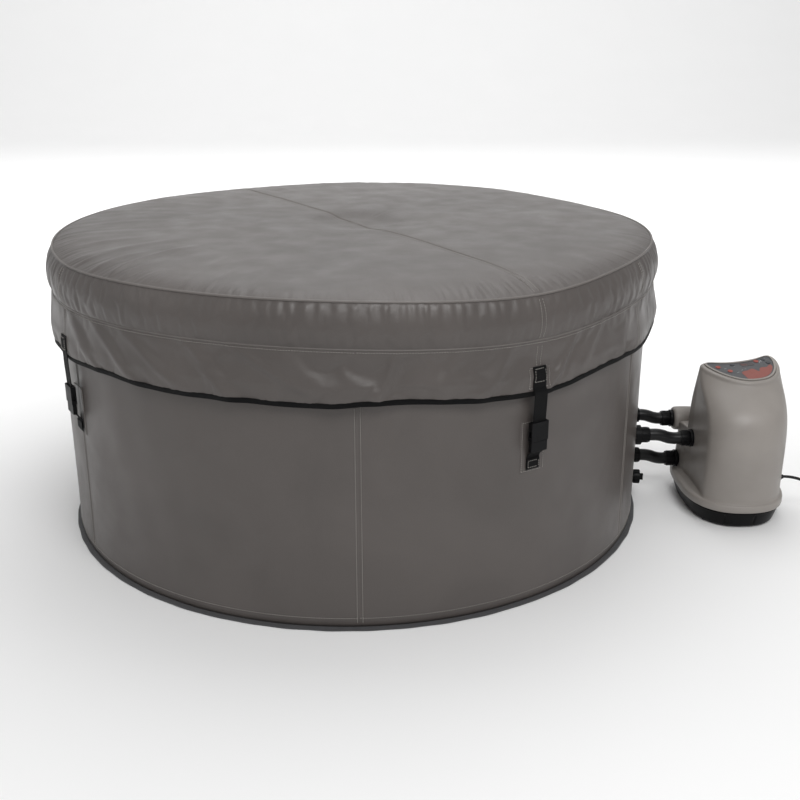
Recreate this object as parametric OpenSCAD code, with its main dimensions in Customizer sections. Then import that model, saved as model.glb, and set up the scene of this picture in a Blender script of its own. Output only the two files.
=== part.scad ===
// Round inflatable hot tub with a strapped lid and a separate control unit.
// Origin: centre of the tub on the ground. +X points to the control unit, +Z up.
// Azimuth runs from -Y (the front) towards +X.

/* [Tub] */
// Outer radius of the inflated wall
tub_r = 800; // [780:5:820]
// Inner radius of the pool
pool_r = 600; // [590:1:605]
// Height of the inflated wall
wall_h = 664; // [650:1:680]
// Radius of the rounded top edges of the wall
shoulder_r = 42; // [30:1:60]
// Thickness of the laminated wall sheet
sheet = 2.5; // [2:0.1:3]
// Thickness of the ground mat
mat_t = 4; // [3:0.5:6]
// Width of the mat left showing around the wall
mat_lip = 12; // [6:1:20]

/* [Lid] */
// Height of the piped seam around the top of the lid
lid_seam_z = 776; // [765:1:785]
// Rise of the lid's middle above the piped seam
lid_dome = 18; // [10:1:30]
// Height of the skirt's hem
hem_z = 549; // [540:1:555]
// Radius of the skirt at its hem
hem_r = 818; // [815:1:822]
// Radius of the skirt where it meets the band
skirt_top_r = 812; // [810:1:814]
// Outward swell of the padded band
band_swell = 15; // [5:1:20]
// Thickness of the lid's cover
cover_t = 3; // [2:0.5:3.5]

/* [Straps] */
// Azimuth of the first of the four straps
strap_az = 30; // [20:1:40]
// Width of the webbing
web_w = 38; // [25:1:40]
// Thickness of the webbing
web_t = 1.8; // [1.2:0.1:2]

/* [Hoses] */
// Outer radius of the hoses
hose_r = 17; // [15:0.5:17]
// Rise of each hose from the unit to the tub
hose_rise = 12; // [8:1:14]
// Sideways place and height of the air port on the unit
air_port = [-15, 212];
// Sideways place and height of the suction port on the unit
suction_port = [-140, 198];
// Sideways place and height of the return port on the unit
return_port = [-52, 100];

/* [Control unit] */
// Centre of the unit's plan
unit_mid = [1062, -163];
// Half width and half depth of the unit's rim
unit_half = [139, 176];
// Top of the black base
unit_base_h = 50; // [45:1:60]
// Height of the housing's rim band
rim_h = 23; // [18:1:28]
// Face of the flat wall that carries the ports
port_x = 954; // [950:1:958]
// Turn of the wall's rear half, in degrees
wall_turn = 7.8; // [6:0.2:9]
// Centre of the control panel
panel_at = [1079, -145, 412];
// Tilt of the panel towards the front, in degrees
panel_tilt = 10; // [8:0.5:12]
// Turn of the panel's long axis, in degrees
panel_turn = 12; // [8:1:20]
// Travel of a button
button_travel = 1; // [0.8:0.1:1.2]

/* [Hidden] */
$fn = 96;
gap = 0.3;                                // clearance between neighbouring soft pieces
eps = 0.5;                                // overshoot of a cut
taupe = [0.37, 0.345, 0.32];
black = [0.08, 0.08, 0.085];
grey = [0.55, 0.53, 0.5];
base_z = mat_t + gap;
ports = [air_port, suction_port, return_port];
pipe_r = 14;                              // through-wall pipe
pipe_bore = 10.5;
boss_r = 28;                              // welded boss around each pipe in the wall
boss_face = tub_r + 3;                    // where the tub-side stub leaves its boss
stub_len = 14;
nut_r = 22;
nut_len = 25;
tub_stub_end = boss_face + stub_len;
return_step = 12;                         // how far the wall's face at the return port stands out
air_step = 24;                            // how far the boss round the air port stands out
wall_bend = -140;                         // sideways place where the port wall turns
flange_r = 25;                            // flange of each port on the unit
flange_t = 9;
hose_bend = 80;                           // radius of each bend of a hose
drain_az = 81;
drain_z = 76;
drain_r = 15;
inflate_az = 60;
inflate_z = 600;
buckle_r = 820;                           // radius of the middle of the buckles
socket_z = [428, 474];
tongue_z = 402;
lid_valve_r = 450;
pump_at = [1045, -165, 118];
blower_at = [1085, -165, 292];
heater_at = [1140, -160, 112];
cord_r = 4;
gland = [1191, -215, 106];
cord_bend = 140;
cord_turn = 80;
cord_run = 70;

// Reversed list
function back(p) = [for (i = [len(p) - 1:-1:0]) p[i]];
// Radius of the lid's band at fraction u of its height
function band_r(u) = skirt_top_r + (tub_r - skirt_top_r) * u + band_swell * sin(180 * u);
// Height of the lid's top at radius r
function top_z(r) = lid_seam_z + lid_dome * (1 - pow(r / tub_r, 4));
// Skirt, band and top of the lid, moved inwards by d
function lid_side(d) = concat([[hem_r - d, hem_z]],
    [for (i = [0:8]) [band_r(i / 8) - d, wall_h + 4 + (lid_seam_z - d - wall_h - 4) * i / 8]]);
function lid_top(d) = [for (i = [1:10]) [(tub_r - d) * (1 - i / 10), top_z(tub_r * (1 - i / 10)) - d]];
// Distance along X at which a pipe at sideways place y meets the pool wall
function pool_x(y) = sqrt(pool_r * pool_r - pow(abs(y) + boss_r, 2)) - 1;
function signed_pow(v, p) = sign(v) * pow(abs(v), p);
// Rounded plan outline: half width w, half depth back and front, with an exponent for each half
function oval(w, back, front, p_back, p_front, n = 64) = [for (i = [0:n - 1])
    let (a = 360 * i / n, b = sin(a) > 0, p = 2 / (b ? p_back : p_front))
    [w * signed_pow(cos(a), p), (b ? back : front) * signed_pow(sin(a), p)]];
// Plan outline of the unit, d outside its rim, with its back moved by shift_back
function plan(d, shift_back = 0) = [for (p = oval(unit_half[0] + d, unit_half[1] + 14 + shift_back + d,
    unit_half[1] + d, shift_back == 0 ? 4 : 2.8, 2.4)) unit_mid + p];
// Kidney-shaped outline of the panel, inset by d
function kidney(d, n = 56) = [for (i = [0:n - 1]) let (a = 360 * i / n)
    [(112 - d) * signed_pow(cos(a), 0.84), (64 - d) * sin(a) + 28 * cos(2 * a)]];

module at_azimuth(a) {
    rotate([0, 0, a - 90]) children();
}

// Cylinder along +X, from x0 to x1
module rod(r, x0, x1) {
    translate([x0, 0, 0]) rotate([0, 90, 0]) cylinder(h = x1 - x0, r = r);
}

// Tube along +X
module tube(r, bore, x0, x1) {
    difference() {
        rod(r, x0, x1);
        rod(bore, x0 - eps, x1 + eps);
    }
}

// Pipe made of straight runs between points, with slightly larger ball corners
module run(points, r) {
    for (i = [0:len(points) - 2]) {
        d = points[i + 1] - points[i];
        translate(points[i])
            rotate([0, acos(d[2] / norm(d)), atan2(d[1], d[0])]) cylinder(h = norm(d), r = r, $fn = 32);
    }
    for (i = [1:1:len(points) - 2]) translate(points[i]) sphere(r + 1, $fn = 32);
}

// Ring of square-edged grip ribs along +X
module ribs(r, x0, x1, count) {
    for (i = [0:count - 1])
        rotate([i * 360 / count, 0, 0]) translate([x0, -1.2, r - 1]) cube([x1 - x0, 2.4, 2.2]);
}

// Ring swept by a profile d wide and h tall whose inner corner is at radius r
module hoop(r, z, d, h) {
    translate([0, 0, z]) difference() {
        cylinder(h = h, r = r + d, $fn = 180);
        translate([0, 0, -eps]) cylinder(h = h + 2 * eps, r = r, $fn = 180);
    }
}

module in_panel() {
    translate(panel_at) rotate([panel_tilt, 0, 0]) rotate([0, 0, panel_turn]) children();
}

// ---- Tub ----

module ground_mat() {
    color(grey) cylinder(h = mat_t, r = tub_r + mat_lip, $fn = 180);
}

// Holes that the pipes, the drain and the inflation valve need through the outer wall
module wall_holes(r_port, r_drain) {
    for (p = ports) translate([0, p[0], p[1] + hose_rise]) rod(r_port, pool_r - 60, tub_r + 20);
    at_azimuth(drain_az) translate([0, 0, drain_z]) rod(r_drain, pool_r - 20, tub_r + 20);
}

module outer_wall() {
    color(taupe) difference() {
        hoop(tub_r - sheet, base_z, sheet, wall_h - shoulder_r - base_z);
        wall_holes(boss_r + gap, drain_r + gap);
        at_azimuth(inflate_az) translate([0, 0, inflate_z]) rod(20 + gap, tub_r - 20, tub_r + 20);
    }
}

module inner_wall() {
    z0 = base_z + sheet + gap;
    color(grey) difference() {
        hoop(pool_r, z0, sheet, wall_h - shoulder_r - z0);
        wall_holes(pipe_r + gap, drain_r + gap);
    }
}

// Half of the rounded roll that closes the wall's top, as a region r inside its face
module roll_profile(r) {
    translate([tub_r - shoulder_r, 0]) intersection() {
        circle(r);
        square(r);
    }
    translate([pool_r + shoulder_r, 0]) intersection() {
        circle(r);
        translate([-r, 0]) square(r);
    }
    translate([pool_r + shoulder_r - eps, 0])
        square([tub_r - pool_r - 2 * shoulder_r + 2 * eps, r]);
}

module top_roll() {
    color(taupe) translate([0, 0, wall_h - shoulder_r + gap]) rotate_extrude($fn = 180) difference() {
        roll_profile(shoulder_r - gap);
        translate([0, -eps]) roll_profile(shoulder_r - gap - sheet);
    }
}

module floor_sheet() {
    color(grey) translate([0, 0, base_z]) cylinder(h = sheet, r = tub_r - sheet - gap, $fn = 180);
}

// Tension webs inside the air chamber, which keep the wall flat
module wall_webs() {
    web_count = 24;
    step = 360 / web_count;
    fittings = 82.5;                      // the web here makes room for the pipes
    color("white") for (i = [0:web_count - 1]) {
        a = step * (i + 0.5);
        if (a != fittings) at_azimuth(a) translate([pool_r + sheet + 1, -0.5, base_z + sheet + 1])
            cube([tub_r - pool_r - 2 * sheet - 2, 1, wall_h - shoulder_r - base_z - sheet - 4]);
    }
}

// Air channel around the pool floor, with its riser from the air port
module bubble_ring() {
    r = pool_r - 22;
    z = base_z + sheet + gap;
    x = pool_x(air_port[0]) - 35;
    zt = air_port[1] + hose_rise;
    color(grey) difference() {
        union() {
            translate([0, 0, z]) rotate_extrude($fn = 180) translate([r, 0])
                polygon([[-19, 0], [19, 0], [19, 8], [11, 19], [-11, 19], [-19, 8]]);
            translate([x, air_port[0], z + 6]) cylinder(h = zt + 12 - z - 6, r = 11);
            translate([0, air_port[0], zt]) rod(9.5, x, x + 15);
        }
        translate([0, 0, z + 1.6]) rotate_extrude($fn = 180) translate([r, 0])
            polygon([[-17, 0], [17, 0], [17, 6], [10, 15.4], [-10, 15.4], [-17, 6]]);
        translate([x, air_port[0], z + 8]) cylinder(h = zt + 10 - z - 8, r = 9);
        translate([0, air_port[0], zt]) rod(7.5, x, x + 16);
        for (i = [0:23]) rotate([0, 0, i * 15 + 7]) translate([r - 1, 0, z + 10]) cylinder(h = 12, r = 2);
    }
}

module wall_ports() {
    color(black) for (p = ports) translate([0, p[0], p[1] + hose_rise]) difference() {
        union() {
            rod(pipe_r, pool_x(p[0]) - 14, tub_stub_end);
            rod(boss_r, tub_r - 40, boss_face);
        }
        rod(pipe_bore, pool_r - 100, tub_r + 40);
    }
}

module wall_locknuts() {
    color(black) for (p = ports) translate([pool_x(p[0]) - 13, p[0], p[1] + hose_rise]) {
        tube(26, pipe_r + 0.05, 0, 11);
        ribs(26, 0, 11, 8);
    }
}

// Filter on the suction pipe: cup, pleated cartridge and screw cap
module filter_parts(part) {
    x = pool_x(suction_port[0]) - 14.5;
    translate([x, suction_port[0], suction_port[1] + hose_rise]) {
        if (part == "housing") difference() {
            rod(50, -96, 0);
            rod(47, -96 - eps, -4);
            rod(pipe_bore, -10, eps);
            for (i = [0:11]) rotate([i * 30 + 15, 0, 0]) translate([-84, -4, 40]) cube([68, 8, 20]);
        }
        if (part == "cartridge") difference() {
            union() {
                rod(32, -90, -6);
                for (i = [0:23]) rotate([i * 15, 0, 0]) translate([-88, -1.5, 0]) cube([80, 3, 42]);
                rod(43, -92, -88);
                rod(43, -9, -5);
            }
            rod(22, -93, -4);
        }
        if (part == "cap") {
            rod(53, -104, -96.5);
            tube(45, 42, -97, -93);
            translate([-112, -26, -5]) cube([9, 52, 10]);
        }
    }
}

module filter_housing() {
    color("gainsboro") filter_parts("housing");
}

module filter_cartridge() {
    color("white") filter_parts("cartridge");
}

module filter_cap() {
    color("gainsboro") filter_parts("cap");
}

module return_nozzle() {
    x = pool_x(return_port[0]) - 14.5;
    color("gainsboro") translate([x, return_port[0], return_port[1] + hose_rise]) difference() {
        union() {
            rod(20, -8, 0);
            rod(15, -20, -8);
        }
        rod(10, -6, eps);
        for (a = [-1:1]) translate([-24, -8, a * 7 - 2]) cube([26, 16, 4]);
    }
}

module drain_valve() {
    color(black) at_azimuth(drain_az) translate([0, 0, drain_z]) {
        difference() {
            union() {
                rod(drain_r, pool_r - 8, tub_r + 14);
                rod(19, tub_r + 0.4, tub_r + 5);
            }
            rod(10, pool_r - 10, tub_r + 15);
        }
    }
}

module drain_cap() {
    color(black) at_azimuth(drain_az) translate([tub_r, 0, drain_z]) {
        difference() {
            rod(19, 6, 24);
            rod(drain_r + 0.05, 5, 14.5);
        }
        ribs(19, 7, 23, 12);
        translate([24, -2.5, -9]) cube([10, 5, 18]);
    }
}

module drain_stopper() {
    color(black) at_azimuth(drain_az) translate([pool_r, 0, drain_z]) {
        rod(9.9, -9, 20);
        rod(17, -14, -8.4);
        translate([-22, -2, -8]) cube([8.5, 4, 16]);
    }
}

module inflation_valve() {
    color("gainsboro") at_azimuth(inflate_az) translate([tub_r, 0, inflate_z]) {
        tube(20, 14, -30, 2);
        tube(26, 19, 0.6, 2);
    }
}

module inflation_cap() {
    color("gainsboro") at_azimuth(inflate_az) translate([tub_r, 0, inflate_z]) {
        rod(18, 2.3, 6);
        tube(13.9, 11, -10, 2.4);
        translate([5.5, -12, -2]) cube([4, 24, 4]);
    }
}

// ---- Straps and buckles ----

module at_straps() {
    for (i = [0:3]) at_azimuth(strap_az + 90 * i) children();
}

// Webbing along a path of [radius, height] points
module webbing(path, w = web_w, t = web_t) {
    rotate([90, 0, 0]) translate([0, 0, -w / 2]) linear_extrude(w)
        polygon(concat(path, [for (p = back(path)) p + [t, 0]]));
}

module wall_patches() {
    color(taupe) at_straps() translate([tub_r + gap, -35, 343]) cube([1.5, 70, 130]);
}

module lower_straps() {
    r = tub_r + 2.6;
    color(black) at_straps() webbing([[r, 352], [r, 384], [buckle_r - 1, 400], [buckle_r - 1, 411]]);
}

module upper_straps() {
    r = buckle_r + 1.4;
    color(black) at_straps() webbing([[hem_r - 2, 603], [hem_r + 0.6, hem_z + 15], [r, hem_z + 9],
        [r, socket_z[1] - 12]]);
}

module buckle_tongues() {
    color(black) at_straps() {
        difference() {
            translate([buckle_r - 5, -23, tongue_z]) cube([10, 46, 25]);
            translate([buckle_r - 1.6, -19.5, tongue_z - eps]) cube([3, 39, 10]);
        }
        for (s = [-1, 1]) translate([buckle_r - 3, s * 15 - 4, tongue_z + 24]) cube([6, 8, 30]);
        translate([buckle_r - 2, -3, tongue_z + 24]) cube([4, 6, 26]);
    }
}

module buckle_sockets() {
    h = socket_z[1] - socket_z[0];
    color(black) at_straps() translate([buckle_r, 0, socket_z[0]]) difference() {
        translate([-6.5, -24, 0]) cube([13, 48, h]);
        translate([-4, -20.5, -eps]) cube([8, 41, 30]);
        translate([-4, -25, 10]) cube([8, 50, 14]);
        translate([0.9, -19.5, h - 14]) cube([2.9, 39, 15]);
    }
}

// ---- Lid ----

module lid_cover() {
    color(taupe) rotate_extrude($fn = 180)
        polygon(concat(lid_side(0), lid_top(0), back(lid_top(cover_t)), back(lid_side(cover_t))));
}

// Inflated pad inside the lid, hollow, with its valve on the underside
module lid_bladder() {
    z0 = wall_h + gap;
    skin = 1.5;
    clear = cover_t + 3;
    n = 6;
    function pad(d) = concat([[0, z0 + d], [tub_r - 12, z0 + d]],
        [for (i = [1:n]) let (u = i / (n + 1))
            [band_r(u) - clear - d, z0 + d + (lid_seam_z - z0 - 2 * d) * u]],
        [for (i = [1:10]) let (r = tub_r * (1 - i / 10)) [r * (1 - d / tub_r), top_z(r) - clear - d]]);
    color("lightgrey") {
        difference() {
            rotate_extrude($fn = 180) polygon(pad(0));
            rotate_extrude($fn = 180) polygon(pad(skin));
        }
        translate([lid_valve_r, 0, z0 - 8]) difference() {
            cylinder(h = 8 + skin / 2, r = 18);
            translate([0, 0, -eps]) cylinder(h = 7, r = 13);
        }
    }
}

module lid_valve_cap() {
    z0 = wall_h + gap - 8;
    color("gainsboro") translate([lid_valve_r, 0, z0]) {
        translate([0, 0, -5]) cylinder(h = 4.7, r = 18);
        translate([0, 0, -1]) cylinder(h = 7, r = 12.9);
        translate([-12, -2, -9]) cube([24, 4, 4.5]);
    }
}

module lid_piping() {
    color(taupe) rotate_extrude($fn = 180) translate([tub_r + 3.2, lid_seam_z + 2.6]) circle(3, $fn = 24);
}

// Bound hem: a U-shaped tape around the skirt's edge
module hem_binding() {
    color(black) rotate_extrude($fn = 180) difference() {
        translate([hem_r - cover_t - 2.4, hem_z - 2.4]) square([cover_t + 4.8, 12]);
        translate([hem_r - cover_t - 0.9, hem_z - gap]) square([cover_t + 1.6, 20]);
    }
}

// ---- Hoses and nuts ----

// Bend of tube starting along +X at the origin and curving down by angle a
module bend(radius, a, r, bore) {
    translate([0, 0, -radius]) rotate([-90, -90, 0]) rotate_extrude(angle = a)
        translate([radius, 0]) difference() {
            circle(r, $fn = 48);
            circle(bore, $fn = 48);
        }
}

// S-shaped hose from the tub's stub down to x1, with a collar held in the nut at each end
module hose(p, x1) {
    x0 = tub_stub_end + 0.4;
    a = acos(1 - hose_rise / (2 * hose_bend));
    reach = 2 * hose_bend * sin(a);
    collar = 5;
    bore = 12;
    straight = (x1 - x0 - reach) / 2;
    color(black) translate([x0, p[0], p[1] + hose_rise]) {
        tube(hose_r, bore, 0, straight);
        tube(18, bore, 0, collar);
        translate([straight, 0, 0]) bend(hose_bend, a, hose_r, bore);
        translate([straight + reach / 2, 0, -hose_rise / 2]) rotate([0, a, 0]) tube(16, 13, -2, 2);
        translate([straight + reach, 0, -hose_rise]) {
            rotate([0, 180, 0]) bend(hose_bend, a, hose_r, bore);
            tube(hose_r, bore, 0, straight);
            tube(18, bore, straight - collar, straight);
        }
    }
}

// Union nut along +X: it turns on the stub and holds the hose's collar
module union_nut(stub_r) {
    color(black) {
        difference() {
            rod(nut_r - 1, 0, nut_len);
            rod(18.1, stub_len - 3, nut_len - 4);
            rod(stub_r + 0.08, -eps, stub_len - 2);
            rod(hose_r + 0.08, nut_len - 5, nut_len + eps);
        }
        ribs(nut_r - 1, 2, nut_len - 3, 16);
    }
}

module tub_nut(p) {
    translate([boss_face + 0.5, p[0], p[1] + hose_rise]) union_nut(pipe_r);
}

// Face that a port's flange lies on, and the shoulder of its neck
function port_face(p) = port_x - (p == air_port ? air_step : p == return_port ? return_step : 0);
function unit_stub(p) = port_face(p) - flange_t;

module unit_nut(p) {
    translate([unit_stub(p) - 0.5, p[0], p[1]]) mirror([1, 0, 0]) union_nut(16);
}

module air_hose() {
    hose(air_port, unit_stub(air_port) - stub_len - 0.4);
}

module suction_hose() {
    hose(suction_port, unit_stub(suction_port) - stub_len - 0.4);
}

module return_hose() {
    hose(return_port, unit_stub(return_port) - stub_len - 0.4);
}

module tub_air_nut() {
    tub_nut(air_port);
}

module tub_suction_nut() {
    tub_nut(suction_port);
}

module tub_return_nut() {
    tub_nut(return_port);
}

module unit_air_nut() {
    unit_nut(air_port);
}

module unit_suction_nut() {
    unit_nut(suction_port);
}

module unit_return_nut() {
    unit_nut(return_port);
}

// ---- Control unit ----

module slab(outline, z, h) {
    translate([0, 0, z]) linear_extrude(h) polygon(outline);
}

// Tapered black base, open at the top
module unit_base() {
    floor_t = 4;
    color(black) difference() {
        hull() {
            slab(plan(-22), 8, 1);
            slab(plan(-7), unit_base_h - 1.3, 1);
        }
        hull() {
            slab(plan(-26), 8 + floor_t, 1);
            slab(plan(-11), unit_base_h + 1, 1);
        }
        for (p = screw_spots()) translate([p[0], p[1], 0]) cylinder(h = 20, r = 2.6, $fn = 24);
    }
}

function screw_spots() = [for (s = [-1, 1], t = [-1, 1]) unit_mid + [s * 66, t * 120]];
function foot_spots() = [for (s = [-1, 1], t = [-1, 1]) unit_mid + [s * 82, t * 92]];

module unit_feet() {
    color(black) for (p = foot_spots()) translate([p[0], p[1], 0]) cylinder(h = 7.7, r = 14, $fn = 48);
}

// Body of the housing as a solid, moved inwards by d: a tapered pot with a low block behind it
module housing_body(d) {
    scoop_r = 300;
    difference() {
        union() {
            hull() {
                slab(plan(-8 - d, -88), unit_base_h + rim_h - 3, 1);
                slab(plan(-12 - d, -98), 288, 1);
                in_panel() translate([0, 0, -8 - d]) linear_extrude(1) polygon(kidney(d - 3));
                in_panel() translate([0, 0, -1 - d]) linear_extrude(1) polygon(kidney(d + 1));
            }
            hull() {
                slab(plan(-8 - d), unit_base_h + rim_h - 3, 1);
                slab([for (p = oval(106 - d, 85 - d, 85 - d, 3, 3)) p + [1038, -95]], 214 - d, 1);
            }
        }
        translate([port_x + d, wall_bend, unit_base_h + rim_h + 1 - d]) {
            translate([-60, -320, 0]) cube([60, 320 + eps, 400]);
            rotate([0, 0, wall_turn]) translate([-90, 0, 0]) cube([90, 320, 400]);
        }
        in_panel() translate([0, 36 + scoop_r, -150]) cylinder(h = 300, r = scoop_r + d, $fn = 180);
    }
}

module unit_housing() {
    wall = 3.5;
    color(grey) difference() {
        union() {
            housing_body(0);
            slab(plan(0), unit_base_h, rim_h);
            translate([0, air_port[0], air_port[1]]) rod(34, port_face(air_port), port_x + 60);
        }
        slab(plan(-8 - wall), unit_base_h - 1, rim_h - 2);
        housing_body(wall);
        translate([0, air_port[0], air_port[1]]) rod(30, port_face(air_port) + 5, port_x + 56);
        for (p = ports) translate([0, p[0], p[1]]) {
            rod(20 + gap, port_x - 40, port_x + 40);
            rod(flange_r + gap, port_x - 60, port_face(p));
        }
        in_panel() translate([0, 0, -20]) linear_extrude(40) polygon(kidney(9));
        translate([0, gland[1], gland[2]]) rod(6 + gap, gland[0] - 40, gland[0] + 20);
    }
}

// Necks that the hoses screw on to, each with a flange on the port wall
module unit_ports() {
    color(black) for (p = ports) translate([0, p[0], p[1]]) {
        difference() {
            union() {
                rod(16, unit_stub(p) - stub_len, port_x + 20);
                rod(20, unit_stub(p), port_x + 12);
                rod(flange_r, unit_stub(p), port_face(p) - gap);
            }
            rod(11, port_x - 80, port_x + 21);
        }
    }
}

module panel_ring() {
    color(grey) in_panel() translate([0, 0, -10]) difference() {
        linear_extrude(13) polygon(kidney(9.3));
        translate([0, 0, -eps]) linear_extrude(15) polygon(kidney(15));
    }
}

// [along, across] places of the six buttons on the panel
button_at = [[-74, 10], [-52, -18], [-28, 14], [48, 18], [72, 24], [78, 4]];
button_r = 7;

module control_panel() {
    color([0.16, 0.17, 0.18]) in_panel() difference() {
        translate([0, 0, -3]) linear_extrude(4) polygon(kidney(15.3));
        for (p = button_at) translate([p[0], p[1], -10]) cylinder(h = 20, r = button_r + 0.08);
        translate([-6, -2, -10]) cube([38, 18, 20]);
    }
}

module display_lens() {
    color([0.05, 0.02, 0.02]) in_panel() {
        translate([-5.8, -1.8, -2.8]) cube([37.6, 17.6, 4.2]);
    }
}

module button(i) {
    color("gainsboro") in_panel() translate([button_at[i][0], button_at[i][1], 0]) {
        translate([0, 0, -3.6]) cylinder(h = 5.8, r = button_r);
        translate([0, 0, -4.6]) cylinder(h = 1.4, r = button_r + 1.2);
    }
}

module button_power() {
    button(0);
}

module button_heat() {
    button(1);
}

module button_filter() {
    button(2);
}

module button_bubbles() {
    button(3);
}

module button_up() {
    button(4);
}

module button_down() {
    button(5);
}

module panel_board() {
    top = -4.6 - button_travel - 0.4;
    color("darkgreen") in_panel() {
        translate([0, 0, top - 1.6]) linear_extrude(1.6) polygon(kidney(20));
        translate([-40, -30, top - 9]) cube([26, 18, 8]);
        translate([10, -34, top - 7]) cube([40, 22, 6]);
    }
}

// Water pump: volute at the front, motor behind, both on an axis along Y
module pump_body() {
    color([0.2, 0.2, 0.22]) translate(pump_at) rotate([90, 0, 0]) {
        difference() {
            union() {
                cylinder(h = 40, r = 44);
                translate([0, 44, 20]) rotate([0, 90, 0]) cylinder(h = 30, r = 12);
                translate([0, 30, 20]) rotate([-90, 0, 0]) cylinder(h = 16, r = 12);
                translate([0, 0, 39]) cylinder(h = 20, r = 14);
            }
            translate([0, 0, 4]) cylinder(h = 32, r = 38);
            translate([0, 0, 30]) cylinder(h = 30, r = 10);
            translate([0, 30, 20]) rotate([-90, 0, 0]) cylinder(h = 14, r = 8);
            translate([0, 44, 20]) rotate([0, 90, 0]) cylinder(h = 31, r = 8);
            translate([0, 0, -1]) cylinder(h = 6, r = 4.05);
        }
        translate([0, 0, -90]) difference() {
            cylinder(h = 90.5, r = 36);
            translate([0, 0, 30]) cylinder(h = 61, r = 4.05);
        }
        for (s = [-1, 1]) translate([s * 24 - 5, -62, -80]) cube([10, 40, 70]);
    }
}

module pump_impeller() {
    blades = 6;
    color("ivory") translate(pump_at) rotate([90, 0, 0]) {
        translate([0, 0, -50]) cylinder(h = 75, r = 4);
        translate([0, 0, 8]) cylinder(h = 3, r = 32);
        for (i = [0:blades - 1]) rotate([0, 0, i * 360 / blades])
            translate([6, -1.25, 10]) cube([25, 2.5, 12]);
    }
}

module blower_body() {
    color([0.2, 0.2, 0.22]) translate(blower_at) difference() {
        union() {
            cylinder(h = 44, r = 58);
            translate([0, 0, -46]) cylinder(h = 47, r = 30);
            translate([-40, 0, -30]) cylinder(h = 31, r = 16);
        }
        translate([0, 0, 3]) cylinder(h = 38, r = 54);
        translate([0, 0, 40]) cylinder(h = 5, r = 24);
        translate([-40, 0, -31]) cylinder(h = 36, r = 12);
        translate([0, 0, -30]) cylinder(h = 34, r = 4.05);
    }
}

module blower_fan() {
    blades = 12;
    color("ivory") translate(blower_at) {
        translate([0, 0, -28]) cylinder(h = 64, r = 4);
        translate([0, 0, 6]) cylinder(h = 2.5, r = 50);
        for (i = [0:blades - 1]) rotate([0, 0, i * 360 / blades])
            translate([16, -1, 8]) cube([33, 2, 22]);
    }
}

module heater() {
    color("silver") translate(heater_at) rotate([90, 0, 0]) {
        difference() {
            union() {
                translate([0, 0, -80]) cylinder(h = 160, r = 24);
                translate([0, 0, 50]) rotate([0, -90, 0]) cylinder(h = 40, r = 12);
                translate([0, 0, -110]) cylinder(h = 31, r = 12);
            }
            translate([0, 0, -76]) cylinder(h = 152, r = 21);
            translate([0, 0, 50]) rotate([0, -90, 0]) cylinder(h = 41, r = 8);
            translate([0, 0, -111]) cylinder(h = 36, r = 8);
        }
    }
}

// Flexible pipes between the ports, the pump, the heater and the blower
module internal_pipes() {
    x = port_x + 21;
    color("dimgrey") {
        run([[x, suction_port[0], suction_port[1]], [x + 16, suction_port[0], suction_port[1]],
            [x + 16, -225, 170], [pump_at[0] - 20, -240, pump_at[2]]], 9);
        run([[x, return_port[0], return_port[1]], [x + 130, return_port[0], return_port[1]]], 9);
        run([[x + 6, air_port[0], air_port[1]], [x + 24, air_port[0] - 25, air_port[1] - 27],
            [blower_at[0] - 40, blower_at[1], 202], [blower_at[0] - 40, blower_at[1], 270]], 9);
    }
}

// Drop of the cord from the gland to the floor, and the length that it takes
cord_drop = gland[2] - cord_r;
cord_angle = acos(1 - cord_drop / (2 * cord_bend));
cord_reach = 8.5 + 2 * cord_bend * sin(cord_angle);

// Arc of cord in a level plane from +X towards +Y
module cord_arc(radius, a) {
    translate([0, radius, 0]) rotate([0, 0, -90]) rotate_extrude(angle = a)
        translate([radius, 0]) circle(cord_r, $fn = 48);
}

module power_cord() {
    color(black) translate(gland) {
        rod(6, -12, 9);
        rod(9, 0, 3);
        translate([8.5, 0, 0]) rotate([-90, 0, 0]) cord_arc(cord_bend, cord_angle);
        translate([cord_reach, 0, -cord_drop]) {
            rotate([-90, 0, 180]) mirror([0, 1, 0]) cord_arc(cord_bend, cord_angle);
            cord_arc(cord_turn, 90);
            translate([cord_turn, cord_turn, 0]) rotate([-90, 0, 0]) cylinder(h = cord_run, r = cord_r);
        }
        translate([8.5 + cord_bend * sin(cord_angle), 0, -cord_drop / 2]) sphere(cord_r + 1);
    }
}

// Plug with its residual-current switch, lying on the floor
module safety_plug() {
    place = [gland[0] + cord_reach + cord_turn, gland[1] + cord_turn + cord_run + gap, 0];
    corner = 8;
    color([0.12, 0.12, 0.13]) translate(place) {
        translate([0, 14, 0]) linear_extrude(44) {
            translate([-27 + corner, 0]) square([54 - 2 * corner, 86]);
            translate([-27, corner]) square([54, 86 - 2 * corner]);
            for (x = [-1, 1], y = [corner, 86 - corner]) translate([x * (27 - corner), y]) circle(corner);
        }
        translate([0, 0, cord_r]) rotate([-90, 0, 0]) cylinder(h = 15, r = 3.9);
        for (s = [-1, 1]) translate([s * 9.5, 99, 22])
            rotate([-90, 0, 0]) cylinder(h = 19, r = 2.4, $fn = 24);
        translate([-16, 40, 43.5]) cube([12, 12, 2.5]);
        translate([4, 40, 43.5]) cube([12, 12, 2.5]);
    }
}

module unit_screws() {
    color("silver") for (p = screw_spots()) translate([p[0], p[1], 0]) {
        translate([0, 0, 7.9 - 3]) cylinder(h = 2.9, r = 5, $fn = 24);
        translate([0, 0, 7]) cylinder(h = 12, r = 2.5, $fn = 24);
    }
}

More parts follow.
